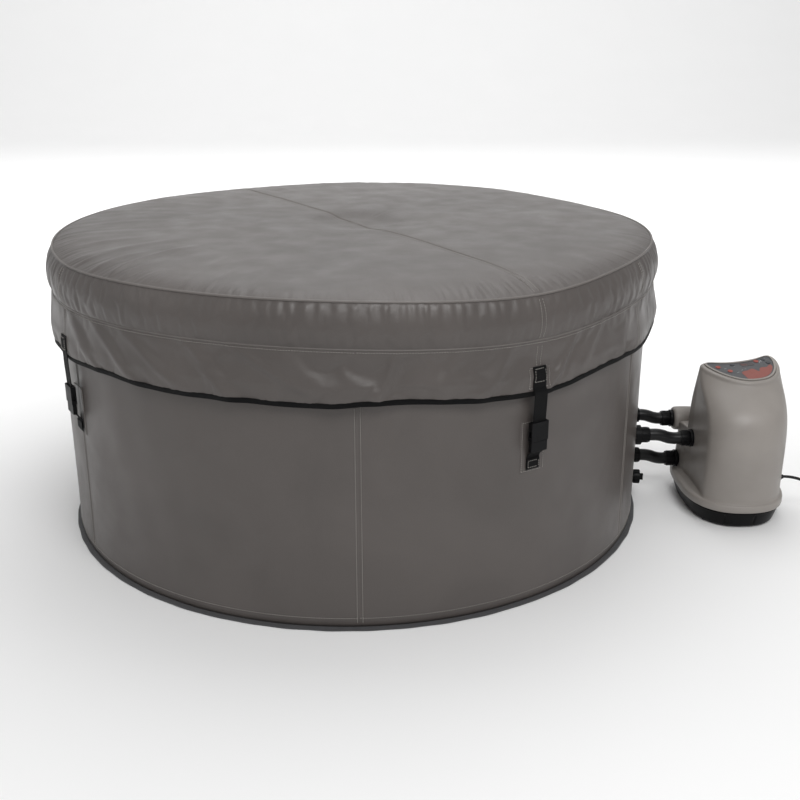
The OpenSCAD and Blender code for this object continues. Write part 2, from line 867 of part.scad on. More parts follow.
ground_mat();
outer_wall();
inner_wall();
top_roll();
floor_sheet();
wall_webs();
bubble_ring();
wall_ports();
wall_locknuts();
filter_housing();
filter_cartridge();
filter_cap();
return_nozzle();
drain_valve();
drain_cap();
drain_stopper();
inflation_valve();
inflation_cap();
wall_patches();
lower_straps();
buckle_tongues();
air_hose();
suction_hose();
return_hose();
tub_air_nut();
tub_suction_nut();
tub_return_nut();
unit_air_nut();
unit_suction_nut();
unit_return_nut();
lid_cover();
lid_bladder();
lid_piping();
hem_binding();
upper_straps();
buckle_sockets();
lid_valve_cap();
unit_base();
unit_feet();
unit_housing();
unit_ports();
panel_ring();
control_panel();
display_lens();
button_power();
button_heat();
button_filter();
button_bubbles();
button_up();
button_down();
panel_board();
pump_body();
pump_impeller();
blower_body();
blower_fan();
heater();
internal_pipes();
power_cord();
safety_plug();
unit_screws();
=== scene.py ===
"""Looks for an inflatable hot tub with a strapped lid and a separate control unit."""
import math
import time

import bpy
import numpy as np
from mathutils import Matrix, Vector
from mathutils.bvhtree import BVHTree


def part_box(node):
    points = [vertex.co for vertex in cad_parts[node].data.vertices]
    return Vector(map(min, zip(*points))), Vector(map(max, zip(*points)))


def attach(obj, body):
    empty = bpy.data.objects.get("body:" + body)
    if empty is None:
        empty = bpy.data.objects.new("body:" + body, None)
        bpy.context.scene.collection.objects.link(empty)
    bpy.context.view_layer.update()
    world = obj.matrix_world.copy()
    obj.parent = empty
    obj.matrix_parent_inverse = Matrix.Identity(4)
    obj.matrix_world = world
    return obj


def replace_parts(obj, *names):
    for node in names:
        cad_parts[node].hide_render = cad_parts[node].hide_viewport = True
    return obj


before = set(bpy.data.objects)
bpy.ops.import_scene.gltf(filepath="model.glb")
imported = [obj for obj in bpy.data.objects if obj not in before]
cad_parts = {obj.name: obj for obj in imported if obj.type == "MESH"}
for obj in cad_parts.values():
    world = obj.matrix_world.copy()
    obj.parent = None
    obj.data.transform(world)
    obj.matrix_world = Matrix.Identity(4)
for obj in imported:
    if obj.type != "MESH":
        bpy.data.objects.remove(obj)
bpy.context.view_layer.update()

# Places taken from the CAD, in metres
TUB_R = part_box("outer_wall")[1].x
WALL_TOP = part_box("top_roll")[1].z
SHOULDER = WALL_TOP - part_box("outer_wall")[1].z
POOL_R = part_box("inner_wall")[1].x - 0.0025
FLOOR_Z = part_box("floor_sheet")[1].z
BASE_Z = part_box("floor_sheet")[0].z
MAT_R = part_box("ground_mat")[1].x
HEM_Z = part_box("lid_cover")[0].z
LID_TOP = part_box("lid_cover")[1].z
SEAM_Z = (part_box("lid_piping")[0].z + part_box("lid_piping")[1].z) / 2 - 0.0026
SEAM_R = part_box("lid_piping")[1].x - 0.0045
LOW_SEAM_Z = WALL_TOP + 0.004
LOW_SEAM_R = SEAM_R + 0.010
HEM_R = LOW_SEAM_R + 0.005
STRAP_AZ = (30, 120, 210, 300)
WALL_SEAMS = tuple(range(0, 360, 60))
LID_SEAMS = (30, 58, 120, 210, 238, 300)
STITCH = 0.0058  # from one stitch to the next


# ---------------- small maths

def polar(az, r, z):
    """Points at azimuths in degrees (0 is the front, growing towards +X), radius and height."""
    a = np.radians(az)
    r, z = np.broadcast_to(r, a.shape), np.broadcast_to(z, a.shape)
    return np.stack([r * np.sin(a), -r * np.cos(a), z], -1)


def away(a, b):
    """Signed difference of two azimuths in degrees, within a half turn."""
    return (a - b + 180) % 360 - 180


def ease(x, lo, hi):
    t = np.clip((x - lo) / (hi - lo), 0, 1)
    return t * t * (3 - 2 * t)


def bell(x, width):
    return np.exp(-((x / width) ** 2))


def waves(az, seed, low, high, count):
    """Smooth periodic unevenness round the tub, between about -1 and 1."""
    rng = np.random.RandomState(seed)
    total = np.zeros_like(np.asarray(az, float))
    for _ in range(count):
        total = total + np.cos(np.radians(az) * rng.randint(low, high + 1) + rng.uniform(0, 6.3))
    return total / math.sqrt(count) / 1.4


# ---------------- mesh helpers

def mesh_object(name, verts, faces, body, slot, material=None, smooth=True):
    """A new piece on a body; its material is its slot's unless another is named."""
    mesh = bpy.data.meshes.new(name)
    mesh.from_pydata(np.asarray(verts, float).tolist(), [], [tuple(f) for f in faces])
    mesh.polygons.foreach_set("use_smooth", [smooth] * len(mesh.polygons))
    mesh.materials.append(MATS[material or slot])
    mesh.update()
    obj = bpy.data.objects.new(name, mesh)
    bpy.context.collection.objects.link(obj)
    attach(obj, body)
    return obj


def bridge(rings):
    """Vertices and faces of a sheet through closed rings; a ring may have half as many points as the last."""
    faces = []
    start = 0
    for low, high in zip(rings, rings[1:]):
        n, m = len(low), len(high)
        nxt = start + n
        for j in range(n if n == m else m):
            k = (j + 1) % m
            if n == m:
                faces.append((start + j, start + k, nxt + k, nxt + j))
            else:
                p, q, s = start + 2 * j, start + 2 * j + 1, start + (2 * j + 2) % n
                faces.append((p, q, nxt + j))
                faces.append((q, s, nxt + k))
                faces.append((q, nxt + k, nxt + j))
        start = nxt
    return np.concatenate(rings), faces


def capped(rings):
    """A sheet through closed rings whose last ring is closed with a fan to its middle."""
    verts, faces = bridge(rings)
    n = len(rings[-1])
    start = len(verts) - n
    verts = np.vstack([verts, rings[-1].mean(0)])
    return verts, faces + [(start + j, start + (j + 1) % n, len(verts) - 1) for j in range(n)]


def shut(verts, faces, n, middle):
    """Closes a sheet's first ring of n points with a fan to a point in its middle."""
    count = len(verts)
    return np.vstack([verts, middle]), faces + [((j + 1) % n, j, count) for j in range(n)]


def solidify(obj, thickness, offset=-1):
    mod = obj.modifiers.new("thickness", "SOLIDIFY")
    mod.thickness = thickness
    mod.offset = offset


def sweep_ring(name, centres, section, body, slot):
    """Closed tube: a section of (outward, up) points swept round the ring of centres."""
    out = centres.copy()
    out[:, 2] = 0
    out /= np.linalg.norm(out, axis=1)[:, None]
    rings = []
    for o, u in section:
        rings.append(centres + out * o + np.array([0, 0, u]))
    rings.append(rings[0])
    n = len(centres)
    verts = np.concatenate(rings[:-1])
    faces = []
    m = len(section)
    for i in range(m):
        for j in range(n):
            a, b = i * n + j, i * n + (j + 1) % n
            c, d = ((i + 1) % m) * n + (j + 1) % n, ((i + 1) % m) * n + j
            faces.append((a, b, c, d))
    return mesh_object(name, verts, faces, body, slot)


def circle_section(r, n=10):
    return [(r * math.cos(2 * math.pi * i / n), r * math.sin(2 * math.pi * i / n)) for i in range(n)]


def tree(obj):
    mesh = obj.data
    return BVHTree.FromPolygons([v.co for v in mesh.vertices], [p.vertices for p in mesh.polygons])


def land(bvh, origins, directions):
    """Where rays meet a surface, and its normals; rays that miss are dropped."""
    points, normals = [], []
    for o, d in zip(origins, directions):
        hit = bvh.ray_cast(Vector(o), Vector(d))
        if hit[0] is None:
            continue
        points.append(hit[0])
        normals.append(hit[1] if hit[1].dot(Vector(d)) < 0 else -hit[1])
    return np.array(points, float), np.array(normals, float)


def side_land(bvh, az, z):
    """Points of an upright surface seen from outside at azimuths and heights."""
    az, z = np.broadcast_arrays(np.asarray(az, float), np.asarray(z, float))
    origins = polar(az, 1.3, z)
    return land(bvh, origins, -polar(az, 1.0, 0 * z))


def top_land(bvh, x, y):
    """Points of a surface seen from above."""
    origins = np.stack([x, y, np.full(len(x), 2.0)], -1)
    return land(bvh, origins, np.tile([0, 0, -1.0], (len(x), 1)))


def stitch_run(points, normals, share=0.72):
    """Both ends and the normal of each stitch along a sampled line."""
    a = points[:-1]
    b = a + (points[1:] - a) * share
    return a, b, (normals[:-1] + normals[1:]) / 2


def stitches(name, runs, body, r=0.0009, sides=5):
    """Rows of short raised thread stitches."""
    a = np.concatenate([run[0] for run in runs])
    b = np.concatenate([run[1] for run in runs])
    up = np.concatenate([run[2] for run in runs])
    along = b - a
    length = np.linalg.norm(along, axis=1)
    good = (length > 0.001) & (length < 0.012)
    a, b, up, along, length = a[good], b[good], up[good], along[good], length[good]
    along = along / length[:, None]
    up = up / np.linalg.norm(up, axis=1)[:, None]
    across = np.cross(along, up)
    parts = [a - up * 0.0004]
    for t in (0.2, 0.8):
        middle = a + (b - a) * t + up * 0.0003
        for k in range(sides):
            c, s = math.cos(2 * math.pi * k / sides), math.sin(2 * math.pi * k / sides)
            parts.append(middle + across * (r * c) + up * (r * s))
    parts.append(b - up * 0.0004)
    per = len(parts)
    verts = np.stack(parts, 1).reshape(-1, 3)
    local = []
    for k in range(sides):
        n = (k + 1) % sides
        local.append((0, 1 + n, 1 + k))
        local.append((1 + k, 1 + n, 1 + sides + n, 1 + sides + k))
        local.append((1 + sides + k, 1 + sides + n, per - 1))
    faces = []
    for i in range(len(a)):
        faces.extend(tuple(v + i * per for v in f) for f in local)
    return mesh_object(name, verts, faces, body, "leatherette", "thread")


# ---------------- cloth

def simulate(obj, pins, pressed, pressure, growth, cap, frames=20):
    """Inflates a sheet as cloth and keeps the result, with each point's move capped.

    pins and pressed hold a weight for each vertex.
    """
    mesh = obj.data
    rest = np.zeros(len(mesh.vertices) * 3, np.float32)
    mesh.vertices.foreach_get("co", rest)
    for name, weights in (("pins", pins), ("pressed", pressed)):
        group = obj.vertex_groups.new(name=name)
        steps = np.round(weights, 2)
        for weight in np.unique(steps):
            group.add(np.nonzero(steps == weight)[0].tolist(), float(weight), "REPLACE")
    mod = obj.modifiers.new("cloth", "CLOTH")
    cloth = mod.settings
    cloth.quality = 4
    cloth.mass = 0.3
    cloth.tension_stiffness = 30
    cloth.compression_stiffness = 30
    cloth.shear_stiffness = 12
    cloth.bending_stiffness = 0.4
    cloth.air_damping = 2
    cloth.use_pressure = True
    cloth.uniform_pressure_force = pressure
    cloth.shrink_min = -growth
    cloth.vertex_group_mass = "pins"
    cloth.vertex_group_pressure = "pressed"
    cloth.effector_weights.gravity = 0
    mod.collision_settings.use_collision = False
    mod.point_cache.frame_end = frames
    for f in range(1, frames + 1):
        bpy.context.scene.frame_set(f)
    moved = np.zeros_like(rest)
    obj.evaluated_get(bpy.context.evaluated_depsgraph_get()).data.vertices.foreach_get("co", moved)
    obj.modifiers.remove(mod)
    bpy.context.scene.frame_set(1)
    step = (moved - rest).reshape(-1, 3)
    length = np.linalg.norm(step, axis=1)[:, None]
    step *= np.tanh(length / cap) * cap / np.maximum(length, 1e-9)
    print("cloth moved", float(length.mean()), float(length.max()))
    mesh.vertices.foreach_set("co", (rest.reshape(-1, 3) + step).astype(np.float32).ravel())
    mesh.update()
    obj.vertex_groups.clear()
    return (rest.reshape(-1, 3) + step).astype(float)


# ---------------- materials

def node(node_tree, kind, **values):
    n = node_tree.nodes.new(kind)
    for key, value in values.items():
        if hasattr(n, key):
            setattr(n, key, value)
        else:
            n.inputs[key.replace("_", " ")].default_value = value
    return n


class Surface:
    """A procedural material under construction."""

    def __init__(self, name, colour, rough, metal=0.0, coat=0.0, sheen=0.0, spec=0.5):
        self.mat = bpy.data.materials.new(name)
        self.mat.use_nodes = True
        self.t = self.mat.node_tree
        self.t.nodes.clear()
        self.out = self.new("OutputMaterial")
        self.bsdf = self.new("BsdfPrincipled")
        self.link(self.bsdf.outputs[0], self.out.inputs[0])
        self.place = self.new("TexCoord").outputs["Object"]
        self.bsdf.inputs["Base Color"].default_value = (*colour, 1)
        self.bsdf.inputs["Roughness"].default_value = rough
        self.bsdf.inputs["Metallic"].default_value = metal
        self.bsdf.inputs["Coat Weight"].default_value = coat
        self.bsdf.inputs["Coat Roughness"].default_value = 0.25
        self.bsdf.inputs["Sheen Weight"].default_value = sheen
        self.bsdf.inputs["Sheen Roughness"].default_value = 0.4
        self.bsdf.inputs["Specular IOR Level"].default_value = spec
        self.colour = colour
        self.normal = None

    def new(self, kind):
        return self.t.nodes.new("ShaderNode" + kind)

    def link(self, output, socket):
        self.t.links.new(output, socket)

    def noise(self, scale, detail=3.0, stretch=None, distortion=0.0):
        n = node(self.t, "ShaderNodeTexNoise", Scale=scale, Detail=detail, Distortion=distortion)
        self.link(self.stretched(stretch), n.inputs["Vector"])
        return n.outputs["Fac"]

    def stretched(self, stretch):
        if stretch is None:
            return self.place
        m = self.new("Mapping")
        m.inputs["Scale"].default_value = stretch
        self.link(self.place, m.inputs["Vector"])
        return m.outputs[0]

    def cells(self, scale):
        n = self.new("TexVoronoi")
        n.feature = "SMOOTH_F1"
        n.inputs["Scale"].default_value = scale
        self.link(self.place, n.inputs["Vector"])
        return n.outputs["Distance"]

    def lines(self, scale, direction):
        n = self.new("TexWave")
        n.bands_direction = direction
        n.wave_profile = "SIN"
        n.inputs["Scale"].default_value = scale
        self.link(self.place, n.inputs["Vector"])
        return n.outputs["Fac"]

    def remap(self, value, lo, hi, to_lo, to_hi):
        m = self.new("MapRange")
        for i, v in enumerate((lo, hi, to_lo, to_hi)):
            m.inputs[i + 1].default_value = v
        self.link(value, m.inputs[0])
        return m.outputs[0]

    def maths(self, kind, a, b):
        m = self.new("Math")
        m.operation = kind
        for i, v in enumerate((a, b)):
            if isinstance(v, (int, float)):
                m.inputs[i].default_value = v
            else:
                self.link(v, m.inputs[i])
        return m.outputs[0]

    def tint(self, value, lo, hi):
        """Base colour from lo to hi, as multiples of the surface's own colour."""
        ramp = self.new("Mix")
        ramp.data_type = "RGBA"
        for socket, c in ((ramp.inputs["A"], lo), (ramp.inputs["B"], hi)):
            socket.default_value = (*[min(c * k, 1) for k in self.colour], 1)
        factor = [s for s in ramp.inputs if s.name == "Factor"][0]
        self.link(value, factor)
        out = [s for s in ramp.outputs if s.type == "RGBA"][0]
        self.link(out, self.bsdf.inputs["Base Color"])

    def roughen(self, value, lo, hi):
        self.link(self.remap(value, 0.3, 0.7, lo, hi), self.bsdf.inputs["Roughness"])

    def bump(self, value, depth, strength=1.0):
        b = self.new("Bump")
        b.inputs["Strength"].default_value = strength
        b.inputs["Distance"].default_value = depth
        self.link(value, b.inputs["Height"])
        if self.normal is not None:
            self.link(self.normal, b.inputs["Normal"])
        self.normal = b.outputs[0]
        self.link(self.normal, self.bsdf.inputs["Normal"])


def leatherette(name, colour, rough=0.40):
    s = Surface(name, colour, rough, spec=0.5)
    blotch = s.noise(3.5, 4, distortion=0.6)
    fine = s.noise(420, 2)
    mottle = s.maths("ADD", s.maths("MULTIPLY", blotch, 0.75), s.maths("MULTIPLY", fine, 0.25))
    s.tint(s.remap(mottle, 0.35, 0.65, 0.0, 1.0), 0.9, 1.1)
    s.roughen(s.noise(14, 3), rough - 0.05, rough + 0.06)
    s.bump(s.cells(620), 0.0005, 0.55)
    s.bump(s.noise(900, 2), 0.0002, 0.4)
    s.bump(s.noise(26, 3), 0.0012, 0.25)
    return s.mat


def plastic(name, colour, rough, grain=0.00008, coat=0.0, spec=0.5):
    s = Surface(name, colour, rough, coat=coat, spec=spec)
    s.tint(s.remap(s.noise(7, 3), 0.35, 0.65, 0.0, 1.0), 0.94, 1.06)
    s.roughen(s.noise(30, 3), rough - 0.04, rough + 0.05)
    s.bump(s.noise(1400, 2), grain, 0.6)
    return s.mat


def weave(name, colour, rough, scale=700):
    s = Surface(name, colour, rough, spec=0.14)
    up = s.lines(scale, "Z")
    over = s.lines(scale * 0.6, "DIAGONAL")
    s.tint(up, 0.7, 1.25)
    s.bump(s.maths("ADD", up, over), 0.0004, 0.9)
    return s.mat


def felt(name, colour):
    s = Surface(name, colour, 0.95, sheen=0.4)
    s.tint(s.noise(60, 6), 0.8, 1.2)
    s.bump(s.noise(700, 6), 0.001, 0.8)
    return s.mat


def metal(name, colour, rough):
    s = Surface(name, colour, rough, metal=1.0)
    s.roughen(s.noise(60, 4, stretch=(1, 1, 8)), rough - 0.08, rough + 0.1)
    s.bump(s.noise(900, 2), 0.00005, 0.5)
    return s.mat


def printed_panel(name):
    """Dark glossy panel face."""
    s = Surface(name, (0.045, 0.047, 0.052), 0.32, coat=0.3)
    s.tint(s.remap(s.noise(40, 3), 0.35, 0.65, 0.0, 1.0), 0.9, 1.12)
    s.bump(s.noise(1600, 2), 0.00005, 0.5)
    return s.mat


TAUPE = (0.081, 0.0705, 0.0655)
MATS = {
    "leatherette": leatherette("leatherette", TAUPE),
    "liner": leatherette("liner", (0.30, 0.29, 0.275), 0.4),
    # The ground mat's felt is darker than the mat's own grey, so that its edge at the wall's foot reads as
    # the shaded crease there: painted shade.
    "mat": felt("mat", (0.055, 0.055, 0.058)),
    # The piping cord and the low seam's ridge are paler than the cover: partly the cords' own tone, partly a
    # painted highlight along their crests.
    "piping": leatherette("piping", (0.135, 0.122, 0.114), 0.5),
    "thread": weave("thread", (0.40, 0.38, 0.355), 0.7, 2500),
    "binding": weave("binding", (0.005, 0.005, 0.0055), 0.6, 900),
    "webbing": weave("webbing", (0.005, 0.005, 0.0055), 0.65, 520),
    "black_plastic": plastic("black_plastic", (0.0035, 0.0035, 0.004), 0.42, spec=0.13),
    "white_plastic": plastic("white_plastic", (0.7, 0.7, 0.68), 0.4),
    "hose": plastic("hose", (0.0045, 0.0045, 0.005), 0.34, 0.00012, spec=0.3),
    "housing": plastic("housing", (0.275, 0.252, 0.232), 0.42, 0.0001),
    "panel": printed_panel("panel"),
    "lens": plastic("lens", (0.02, 0.006, 0.006), 0.12, 0.00001, coat=0.6),
    "button": plastic("button", (0.30, 0.052, 0.034), 0.45),
    "button_dark": plastic("button_dark", (0.035, 0.037, 0.042), 0.4),
    "print": plastic("print", (0.235, 0.052, 0.036), 0.35, 0.00001, coat=0.2),
    "pale_print": plastic("pale_print", (0.42, 0.43, 0.45), 0.4, 0.00001),
    "board": plastic("board", (0.02, 0.09, 0.04), 0.5),
    "motor": plastic("motor", (0.06, 0.06, 0.065), 0.5),
    "steel": metal("steel", (0.55, 0.55, 0.56), 0.35),
    "pleats": felt("pleats", (0.6, 0.62, 0.64)),
    "cord": plastic("cord", (0.007, 0.007, 0.008), 0.45, spec=0.3),
}


DARK_BUTTONS = ("button_filter", "button_up", "button_down")
SOFT_EDGED = ("buckle_sockets", "buckle_tongues", "drain_cap", "safety_plug", "unit_ports",
              "tub_air_nut", "tub_suction_nut", "tub_return_nut",
              "unit_air_nut", "unit_suction_nut", "unit_return_nut")


def dress_cad():
    """Every carried-over CAD node takes its slot's material; moulded parts get softened edges."""
    for name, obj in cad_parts.items():
        slot = obj.data.materials[0].name.split(".")[0] if obj.data.materials else "black_plastic"
        mat = MATS.get("button_dark" if name in DARK_BUTTONS else slot, MATS["black_plastic"])
        obj.data.materials.clear()
        obj.data.materials.append(mat)
        if name in SOFT_EDGED:
            weld = obj.modifiers.new("weld", "WELD")
            weld.merge_threshold = 0.00002
            bevel = obj.modifiers.new("soft_edges", "BEVEL")
            bevel.width = 0.0008
            bevel.segments = 2
            bevel.limit_method = "ANGLE"
            bevel.angle_limit = math.radians(35)


# ---------------- lid

LID_N = 960
AZ = np.arange(LID_N) * 360 / LID_N
# Folds of the draped skirt: azimuth at its seam and at its hem, share of the drop where the fold
# starts and ends, width in degrees and height in millimetres
FRONT_FOLDS = (
    (-19.5, -11.0, 0.02, 0.55, 1.5, 6.0), (-14.0, -3.0, 0.02, 0.95, 3.4, 8.5),
    (-4.0, 4.5, 0.25, 1.0, 2.6, 5.0), (6.2, 3.6, 0.02, 0.80, 1.2, 7.0),
    (25.0, 19.5, 0.05, 0.90, 1.5, 5.0), (-27.0, -20.0, 0.02, 0.95, 1.8, 7.0),
    (-41.0, -30.5, 0.0, 0.75, 1.6, 4.5), (-49.0, -39.0, 0.0, 0.85, 1.6, 4.5),
    (-58.0, -49.0, 0.05, 0.90, 2.0, 4.5), (38.0, 32.6, 0.02, 0.85, 1.0, 6.0),
    (44.2, 40.0, 0.10, 0.65, 1.3, 3.6), (9.2, 11.8, 0.0, 0.60, 1.2, 3.2),
    (15.5, 13.0, 0.05, 0.7, 1.3, 3.0), (54.0, 50.0, 0.05, 0.9, 1.8, 3.5),
    (72.0, 80.0, 0.1, 1.0, 5.0, 8.0), (-75.0, -69.0, 0.1, 1.0, 3.0, 4.5),
    (-84.0, -80.0, 0.1, 1.0, 2.4, 4.0))
# How far each seam stands above its CAD height, its dip at the front strap, the dip's width in degrees
SEAM_PULL = (0.006, 0.019, 20)
LOW_SEAM_PULL = (0.016, 0.020, 23)
HEM_PULL = (0.008, 0.017, 10)
SWELL = 0.0120  # of the padded band
LID_SKIN = 0.0022  # thickness of the cover
PIPING_R = 0.003
RIDGE_R = 0.0019


def all_folds():
    """The front's folds and seeded ones round the back."""
    rng = np.random.RandomState(5)
    rows = list(FRONT_FOLDS)
    az = 92.0
    while az < 268:
        lean = rng.uniform(4, 9) * rng.choice((-1, 1))
        rows.append((az, az + lean, 0.1, 1.0, rng.uniform(1.5, 2.6), rng.uniform(3, 6.5)))
        az += rng.uniform(7, 12)
    return rows


def pulled(az, cad_z, pull):
    """Height of a seam that the straps pull down, most of all the one at the front."""
    rise, dip, wide = pull
    total = cad_z + rise + 0.0015 * waves(az, 17, 2, 6, 4)
    for i, strap in enumerate(STRAP_AZ):
        d = away(az, strap)
        total = total - dip * (1.0 if i == 0 else 0.4) * bell(d, np.where(d < 0, 1.15, 0.85) * wide)
    return total


def seam_height(az):
    return pulled(az, SEAM_Z, SEAM_PULL)


def low_seam_height(az):
    return pulled(az, LOW_SEAM_Z, LOW_SEAM_PULL)


def hem_height(az):
    return pulled(az, HEM_Z, HEM_PULL)


def skirt_offset(az, t):
    """How far the draped skirt stands out, in metres, at share t of its drop."""
    total = np.zeros_like(az)
    for a0, a1, t0, t1, width, height in all_folds():
        line = a0 + (a1 - a0) * (t - t0) / (t1 - t0)
        grow = ease(t, t0 - 0.08, t0 + 0.3) * (1 - 0.75 * ease(t, t1 - 0.1, t1 + 0.3))
        d = away(az, line)
        total = total + 0.001 * height * grow * (bell(d, width) - 0.35 * bell(d - 2.1 * width, 1.3 * width))
    return total + 0.0025 * ease(t, 0.2, 1) * waves(az, 3, 9, 24, 6)


def puckers(az, seed, low, high, spread):
    """Sharp little gathers round a seam: 0 between them, up to 1 on their crests."""
    rng = np.random.RandomState(seed)
    total = np.zeros_like(az)
    place = 0.0
    while place < 360:
        width = rng.uniform(low, high)
        total = total + rng.uniform(0.3, 1.0) * bell(away(az, place), width)
        place += rng.uniform(1.2, 3.6) * spread
    return total


def band_point(az, u):
    """Point of the padded band at share u of its height."""
    r0 = LOW_SEAM_R + (SEAM_R - LOW_SEAM_R) * u
    swell = SWELL * math.sin(math.pi * u) ** 0.75 * (1 + 0.12 * waves(az, 8, 3, 11, 5))
    top = PUCK_TOP * ease(u, 0.35, 0.85) * (1 - ease(u, 0.93, 1.0))
    low = PUCK_LOW * (1 - ease(u, 0.25, 0.7)) * ease(u, 0.0, 0.1)
    low_z = low_seam_height(az)
    z = low_z + (seam_height(az) - low_z) * u
    return polar(az, r0 + swell + 0.0042 * top + 0.002 * low, z)


def skirt_point(az, t):
    """Point of the skirt at share t of its drop below the lower seam."""
    r0 = LOW_SEAM_R + (HEM_R - LOW_SEAM_R) * t - 0.0045 * math.sin(math.pi * min(1.5 * t, 1))
    r = np.maximum(r0 + skirt_offset(az, t), TUB_R + 0.0068)
    low_z = low_seam_height(az)
    z = low_z + (hem_height(az) - low_z) * t + 0.0025 * t * t * waves(az, 21, 6, 17, 5)
    return polar(az, r, z)


def top_height(az, q):
    """Height of the lid's top at share q of its radius: it rolls off to the piped seam."""
    roll = (1 - q ** 8) ** 0.6 if q < 1 else 0.0
    seam = seam_height(az)
    return seam + (LID_TOP - 0.004 - seam) * roll + 0.005 * (1 - q * q)


def gathers(az, q):
    """Long soft wrinkles that run in from the seam across the top, slanting a little."""
    rng = np.random.RandomState(31)
    total = np.zeros_like(az)
    place = -180.0
    while place < 180:
        strong = 0.25 + 1.1 * bell(place + 48, 26) + 0.5 * bell(place - 38, 22)
        inner = rng.uniform(0.55, 0.75) if place < 0 else rng.uniform(0.76, 0.88)
        lean = rng.uniform(1, 9) * (-1 if place < 0 else 1)
        line = place + lean * (1 - q) / (1 - inner)
        share = ease(q, inner, min(inner + 0.16, 0.93)) * (1 - ease(q, 0.955, 1.0))
        height = strong * rng.uniform(0.4, 1.0) * share
        total = total + height * bell(away(az, line), rng.uniform(0.8, 1.7) / q)
        place += rng.uniform(3.0, 6.5)
    return total


def seam_groove(x, y):
    """Valley of the top's diameter seam."""
    a = math.radians(STRAP_AZ[0])
    across = x * math.cos(a) + y * math.sin(a)
    return bell(across, 0.004) + 0.35 * bell(across, 0.02)


def top_point(az, q):
    """Point of the lid's top at share q of its radius, with its wrinkles and its seam."""
    p = polar(az, SEAM_R * q, top_height(az, q))
    uneven = 0.0016 * np.cos(9 * p[:, 0] + 2.0) * np.cos(7 * p[:, 1] + 0.6)
    uneven = uneven + 0.0011 * np.cos(21 * p[:, 0] - 8 * p[:, 1] + 1.0)
    free = 1 - ease(np.array(q), 0.9, 1.0)
    groove = 0.0018 * seam_groove(p[:, 0], p[:, 1]) * (1 - q ** 30)
    p[:, 2] += uneven * free + 0.0036 * gathers(az, q) - groove
    return p


PUCK_SHARE = 0.3 + 0.9 * bell(away(AZ, 6), 26) + 0.3 * bell(away(AZ, 70), 30)
PUCK_TOP = puckers(AZ, 41, 0.35, 0.8, 0.8) * PUCK_SHARE
PUCK_LOW = puckers(AZ, 43, 0.4, 0.9, 1.3)
SKIRT_ROWS = 26
BAND_ROWS = 22
TOP_ROWS = 46


def lid_rings():
    """Rings of the lid's cover from the hem up to the seams and in to the middle."""
    rings = [skirt_point(AZ, t) for t in np.linspace(1, 0, SKIRT_ROWS)]
    rings += [band_point(AZ, u) for u in np.linspace(0, 1, BAND_ROWS)[1:]]
    shares = 1 - np.linspace(0, 1, TOP_ROWS) ** 1.7
    az, halvings = AZ, (0.5, 0.25, 0.12)
    for q in shares[1:-1]:
        while halvings and q < halvings[0]:
            az, halvings = az[::2], halvings[1:]
        rings.append(top_point(az, q))
    return rings


def build_lid():
    """The lid's cover with its piping, its low seam, its hem tape and its stitches."""
    rings = lid_rings()
    verts, faces = capped(rings)
    cover = mesh_object("lid_cover_skin", verts, faces, "lid", "leatherette")
    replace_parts(cover, "lid_cover")
    verts = puff_lid(cover, verts)
    hem = verts[:LID_N]
    low = verts[(SKIRT_ROWS - 1) * LID_N:SKIRT_ROWS * LID_N]
    top = verts[(SKIRT_ROWS + BAND_ROWS - 2) * LID_N:(SKIRT_ROWS + BAND_ROWS - 1) * LID_N]
    bvh = tree(cover)
    solidify(cover, LID_SKIN)
    piping = sweep_ring("lid_piping_cord", top + [0, 0, 0.0008], circle_section(PIPING_R), "lid", "piping")
    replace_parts(piping, "lid_piping")
    sweep_ring("lid_seam_ridge", low, circle_section(RIDGE_R, 8), "lid", "piping")
    tape = [(-0.0046, -0.0035), (-0.002, -0.0055), (0.0006, -0.0055), (0.0026, -0.0036), (0.0030, 0.001),
            (0.0027, 0.0056), (0.0012, 0.0066), (-0.0002, 0.0062), (-0.0028, 0.0066), (-0.0046, 0.005)]
    binding = sweep_ring("hem_tape", hem, tape, "lid", "binding")
    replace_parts(binding, "hem_binding")
    lid_stitches(bvh)
    return bvh


def puff_lid(cover, verts):
    """Inflates the lid's cover: both seams and the hem are held, and the skirt isn't pressed."""
    start = time.time()
    rows = SKIRT_ROWS + BAND_ROWS - 1
    pins = np.zeros(len(verts))
    pressed = np.zeros(len(verts))
    pins[:LID_N] = 1
    pins[(SKIRT_ROWS - 1) * LID_N:SKIRT_ROWS * LID_N] = 1
    pins[(rows - 1) * LID_N:rows * LID_N] = 1
    pins[np.hypot(verts[:, 0], verts[:, 1]) < 0.1] = 1
    pressed[(SKIRT_ROWS - 1) * LID_N:] = 1
    out = simulate(cover, pins, pressed, pressure=6.0, growth=0.014, cap=0.009)
    print("cloth seconds", round(time.time() - start, 1))
    return out


def lid_stitches(bvh):
    """Stitches under the low seam, beside the upright seams and along the top's seam."""
    runs = []
    ring = np.arange(0, 360, math.degrees(STITCH / SEAM_R))
    p, n = side_land(bvh, ring, low_seam_height(ring) - 0.0065)
    runs.append(stitch_run(p, n))
    for az in LID_SEAMS:
        for side in (-1, 1):
            turn = math.degrees(side * 0.0058 / LOW_SEAM_R)
            hem, low, top = hem_height(az), low_seam_height(az), seam_height(az)
            for lo, hi in ((hem + 0.012, low - 0.008), (low + 0.006, top - 0.005)):
                z = np.arange(lo, hi, STITCH)
                p, n = side_land(bvh, az + turn, z)
                runs.append(stitch_run(p, n))
    a = math.radians(STRAP_AZ[0])
    for side in (-1, 1):
        s = np.arange(-SEAM_R + 0.006, SEAM_R - 0.006, STITCH)
        x = s * math.sin(a) + side * 0.006 * math.cos(a)
        y = -s * math.cos(a) + side * 0.006 * math.sin(a)
        p, n = top_land(bvh, x, y)
        runs.append(stitch_run(p, n))
    stitches("lid_stitching", runs, "lid")


# ---------------- tub

